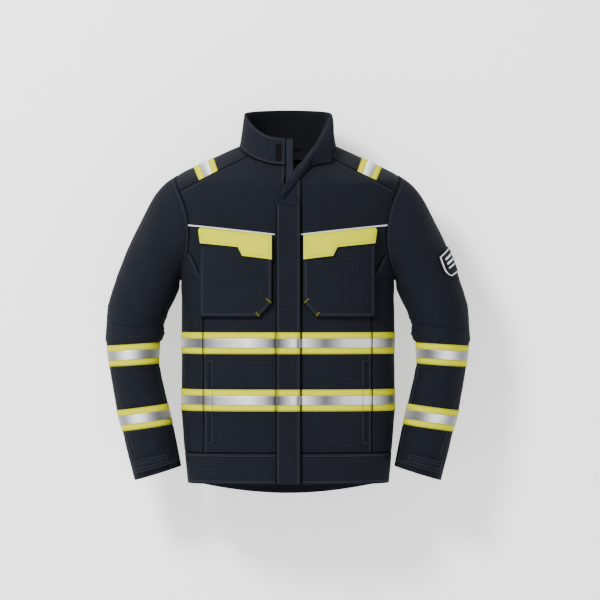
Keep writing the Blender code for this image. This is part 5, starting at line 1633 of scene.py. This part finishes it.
def make_zip(name, side):
    """One tape with its woven edge cord and its row of teeth."""
    rows = np.linspace(ZIP_BOTTOM, ZIP_TOP, 120)
    x, z = np.meshgrid(side * np.array([0.5, 1.6, 2.8, 6.0, 10.0, 15.0]), rows)
    bump = np.interp(np.abs(x), (0.5, 1.6, 2.8, 3.4), (0.4, 0.9, 0.4, 0.0))
    points = np.stack([x, ZIP_FACE - bump, z], axis=-1)
    sheet_grid("zip_tape_%s_cloth" % name, points, 0.8, TAPE, outward=side, body="coat", slot="zip_brass",
               node="zip_tape_" + name)
    teeth = Thread()
    pitch = 3.1
    for k in range(int((ZIP_TOP - ZIP_BOTTOM - 14.0) / pitch)):
        z0 = ZIP_BOTTOM + 13.0 + k * pitch + (pitch / 2.0 if side > 0.0 else 0.0)
        line = np.array([(-side * 0.9, ZIP_FACE - 1.0, z0), (side * 1.2, ZIP_FACE - 1.1, z0),
                         (side * 2.6, ZIP_FACE - 0.9, z0)])
        teeth.tube(line, np.tile((0.0, -1.0, 0.0), (3, 1)), 0.62, 0.75)
    teeth.piece("zip_teeth_" + name, BRASS, body="coat", slot="zip_brass")


for side_name, side_sign in SIDES.items():
    make_zip(side_name, side_sign)


# Pieces kept from the frame, and thread ----------------------------------------

def repaint(node, material):
    """Shows a frame node with one of the materials above. Its mesh stays as it is."""
    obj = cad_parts[node]
    for material_slot in obj.material_slots:
        material_slot.link = "OBJECT"
        material_slot.material = material


for node in ("zip_slider", "zip_pull", "zip_stop_box"):
    repaint(node, BRASS)
for node in ("hand_pocket_bag_left", "hand_pocket_bag_right"):
    repaint(node, LINING)

loop_low, loop_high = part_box("hanger_loop")
loop = Thread()
middle = (Vector(loop_low) + Vector(loop_high)) / 2.0 - ORIGIN
half = (loop_high[0] - loop_low[0]) / 2.0 / MM - 1.6
top = (loop_high[2] - ORIGIN.z) / MM - 1.6
base = (loop_low[2] - ORIGIN.z) / MM + 1.6
back = (loop_high[1] - ORIGIN.y) / MM - 1.6
reach = (loop_high[1] - loop_low[1]) / MM - 3.2
turns = np.linspace(0.0, math.pi, 60)
line = np.stack([-half * np.cos(turns), back - reach * np.sin(turns), base + (top - base) * np.sin(turns)],
                axis=1)
for k in range(3):
    spin = turns * 26.0 + k * math.tau / 3.0
    strand = line + np.stack([0.0 * spin, 0.75 * np.cos(spin), 0.75 * np.sin(spin)], axis=1)
    loop.tube(strand, np.tile((0.0, -1.0, 0.0), (60, 1)), 0.8, 0.8)
new_piece("hanger_loop_cord", loop.vertices, loop.faces, SEAM_BLACK, loop.uvs, body="coat",
          slot="shell_cloth", node="hanger_loop")

KINDS = {"grey": THREAD, "yellow": YELLOW_THREAD, "black": SEAM_BLACK}
for (kind, where), gathered in THREADS.items():
    if gathered.faces:
        gathered.piece("%s_thread_%s" % (kind, where), KINDS[kind], **held_at(where))


def flat_cut(obj):
    """The flat rectangle a sheet is cut from, and the cloth's area in it, in metres."""
    mesh = obj.data
    uvs = np.empty(len(mesh.loops) * 2)
    mesh.uv_layers[0].data.foreach_get("uv", uvs)
    uvs = uvs.reshape(-1, 2)
    size = uvs.max(axis=0) - uvs.min(axis=0)
    area = 0.0
    for polygon in mesh.polygons:
        corners = uvs[polygon.loop_start:polygon.loop_start + polygon.loop_total]
        following = np.roll(corners, -1, axis=0)
        area += abs(np.sum(corners[:, 0] * following[:, 1] - corners[:, 1] * following[:, 0])) / 2.0
    return size, area / 2.0


for obj in SHEETS:
    size, area = flat_cut(obj)
    area = min(max(area, 0.31 * size[0] * size[1]), size[0] * size[1])
    print("FLAT", obj.name, [round(float(s) * 1000) for s in size], round(float(area) * 1e4))


# Floor, light and camera -----------------------------------------------------

def plain_material(name, colour, roughness, one_sided=False):
    material = bpy.data.materials.new(name)
    material.use_nodes = True
    tree = material.node_tree
    shader = tree.nodes["Principled BSDF"]
    grain = tree.nodes.new("ShaderNodeTexNoise")
    grain.inputs["Scale"].default_value = 3.0
    shade = tree.nodes.new("ShaderNodeMix")
    shade.data_type = "RGBA"
    shade.inputs["A"].default_value = colour
    shade.inputs["B"].default_value = tuple(c * 0.985 for c in colour[:3]) + (1.0,)
    tree.links.new(grain.outputs["Fac"], shade.inputs["Factor"])
    tree.links.new(shade.outputs["Result"], shader.inputs["Base Color"])
    shader.inputs["Roughness"].default_value = roughness
    if one_sided:
        shader.inputs["Emission Color"].default_value = (1.0, 1.0, 1.0, 1.0)
        shader.inputs["Emission Strength"].default_value = 0.75
        clear = tree.nodes.new("ShaderNodeBsdfTransparent")
        side = tree.nodes.new("ShaderNodeNewGeometry")
        choice = tree.nodes.new("ShaderNodeMixShader")
        tree.links.new(side.outputs["Backfacing"], choice.inputs["Fac"])
        tree.links.new(shader.outputs["BSDF"], choice.inputs[1])
        tree.links.new(clear.outputs["BSDF"], choice.inputs[2])
        tree.links.new(choice.outputs["Shader"], tree.nodes["Material Output"].inputs["Surface"])
    return material


def plane(name, corners, material):
    mesh = bpy.data.meshes.new(name)
    mesh.from_pydata(corners, [], [(0, 1, 2, 3)])
    mesh.materials.append(material)
    obj = bpy.data.objects.new(name, mesh)
    bpy.context.scene.collection.objects.link(obj)
    return obj


FLOOR_HEIGHT = CAD_BOX[0].z - 0.5
WALL_DEPTH = CAD_BOX[1].y + 0.03
WIDE = 6.0
plane("floor", [(-WIDE, -WIDE, FLOOR_HEIGHT), (WIDE, -WIDE, FLOOR_HEIGHT), (WIDE, WIDE, FLOOR_HEIGHT),
                (-WIDE, WIDE, FLOOR_HEIGHT)],
      plain_material("pale_floor", (0.86, 0.86, 0.87, 1.0), 0.9))
plane("backdrop", [(-WIDE, WALL_DEPTH, -WIDE), (WIDE, WALL_DEPTH, -WIDE), (WIDE, WALL_DEPTH, WIDE),
                   (-WIDE, WALL_DEPTH, WIDE)],
      plain_material("pale_wall", (0.9, 0.9, 0.91, 1.0), 0.95, one_sided=True))

world = bpy.data.worlds.new("soft_room")
bpy.context.scene.world = world
world.use_nodes = True
world.node_tree.nodes["Background"].inputs["Color"].default_value = (1.0, 1.0, 1.0, 1.0)
world.node_tree.nodes["Background"].inputs["Strength"].default_value = 0.55


def area_light(name, spot, aim, size, power):
    lamp = bpy.data.lights.new(name, "AREA")
    lamp.shape = "DISK"
    lamp.size = size
    lamp.energy = power
    obj = bpy.data.objects.new(name, lamp)
    obj.location = spot
    obj.rotation_euler = (Vector(aim) - Vector(spot)).to_track_quat("-Z", "Y").to_euler()
    bpy.context.scene.collection.objects.link(obj)
    return obj


AIM = (0.0, -0.08, -0.35)
area_light("key_light", (-1.5, -2.6, 1.6), AIM, 0.9, 210.0)
area_light("fill_light", (1.9, -2.4, 0.2), AIM, 2.2, 12.0)

camera_data = bpy.data.cameras.new("front_camera")
camera_data.lens = 200.0
camera_data.sensor_width = 36.0
camera = bpy.data.objects.new("front_camera", camera_data)
FRAME_WIDTH = 1.32
DISTANCE = FRAME_WIDTH * camera_data.lens / camera_data.sensor_width
camera.location = (0.0268, ORIGIN.y - DISTANCE, -0.3388)
camera.rotation_euler = (math.pi / 2.0, 0.0, 0.0)
bpy.context.scene.collection.objects.link(camera)
bpy.context.scene.camera = camera
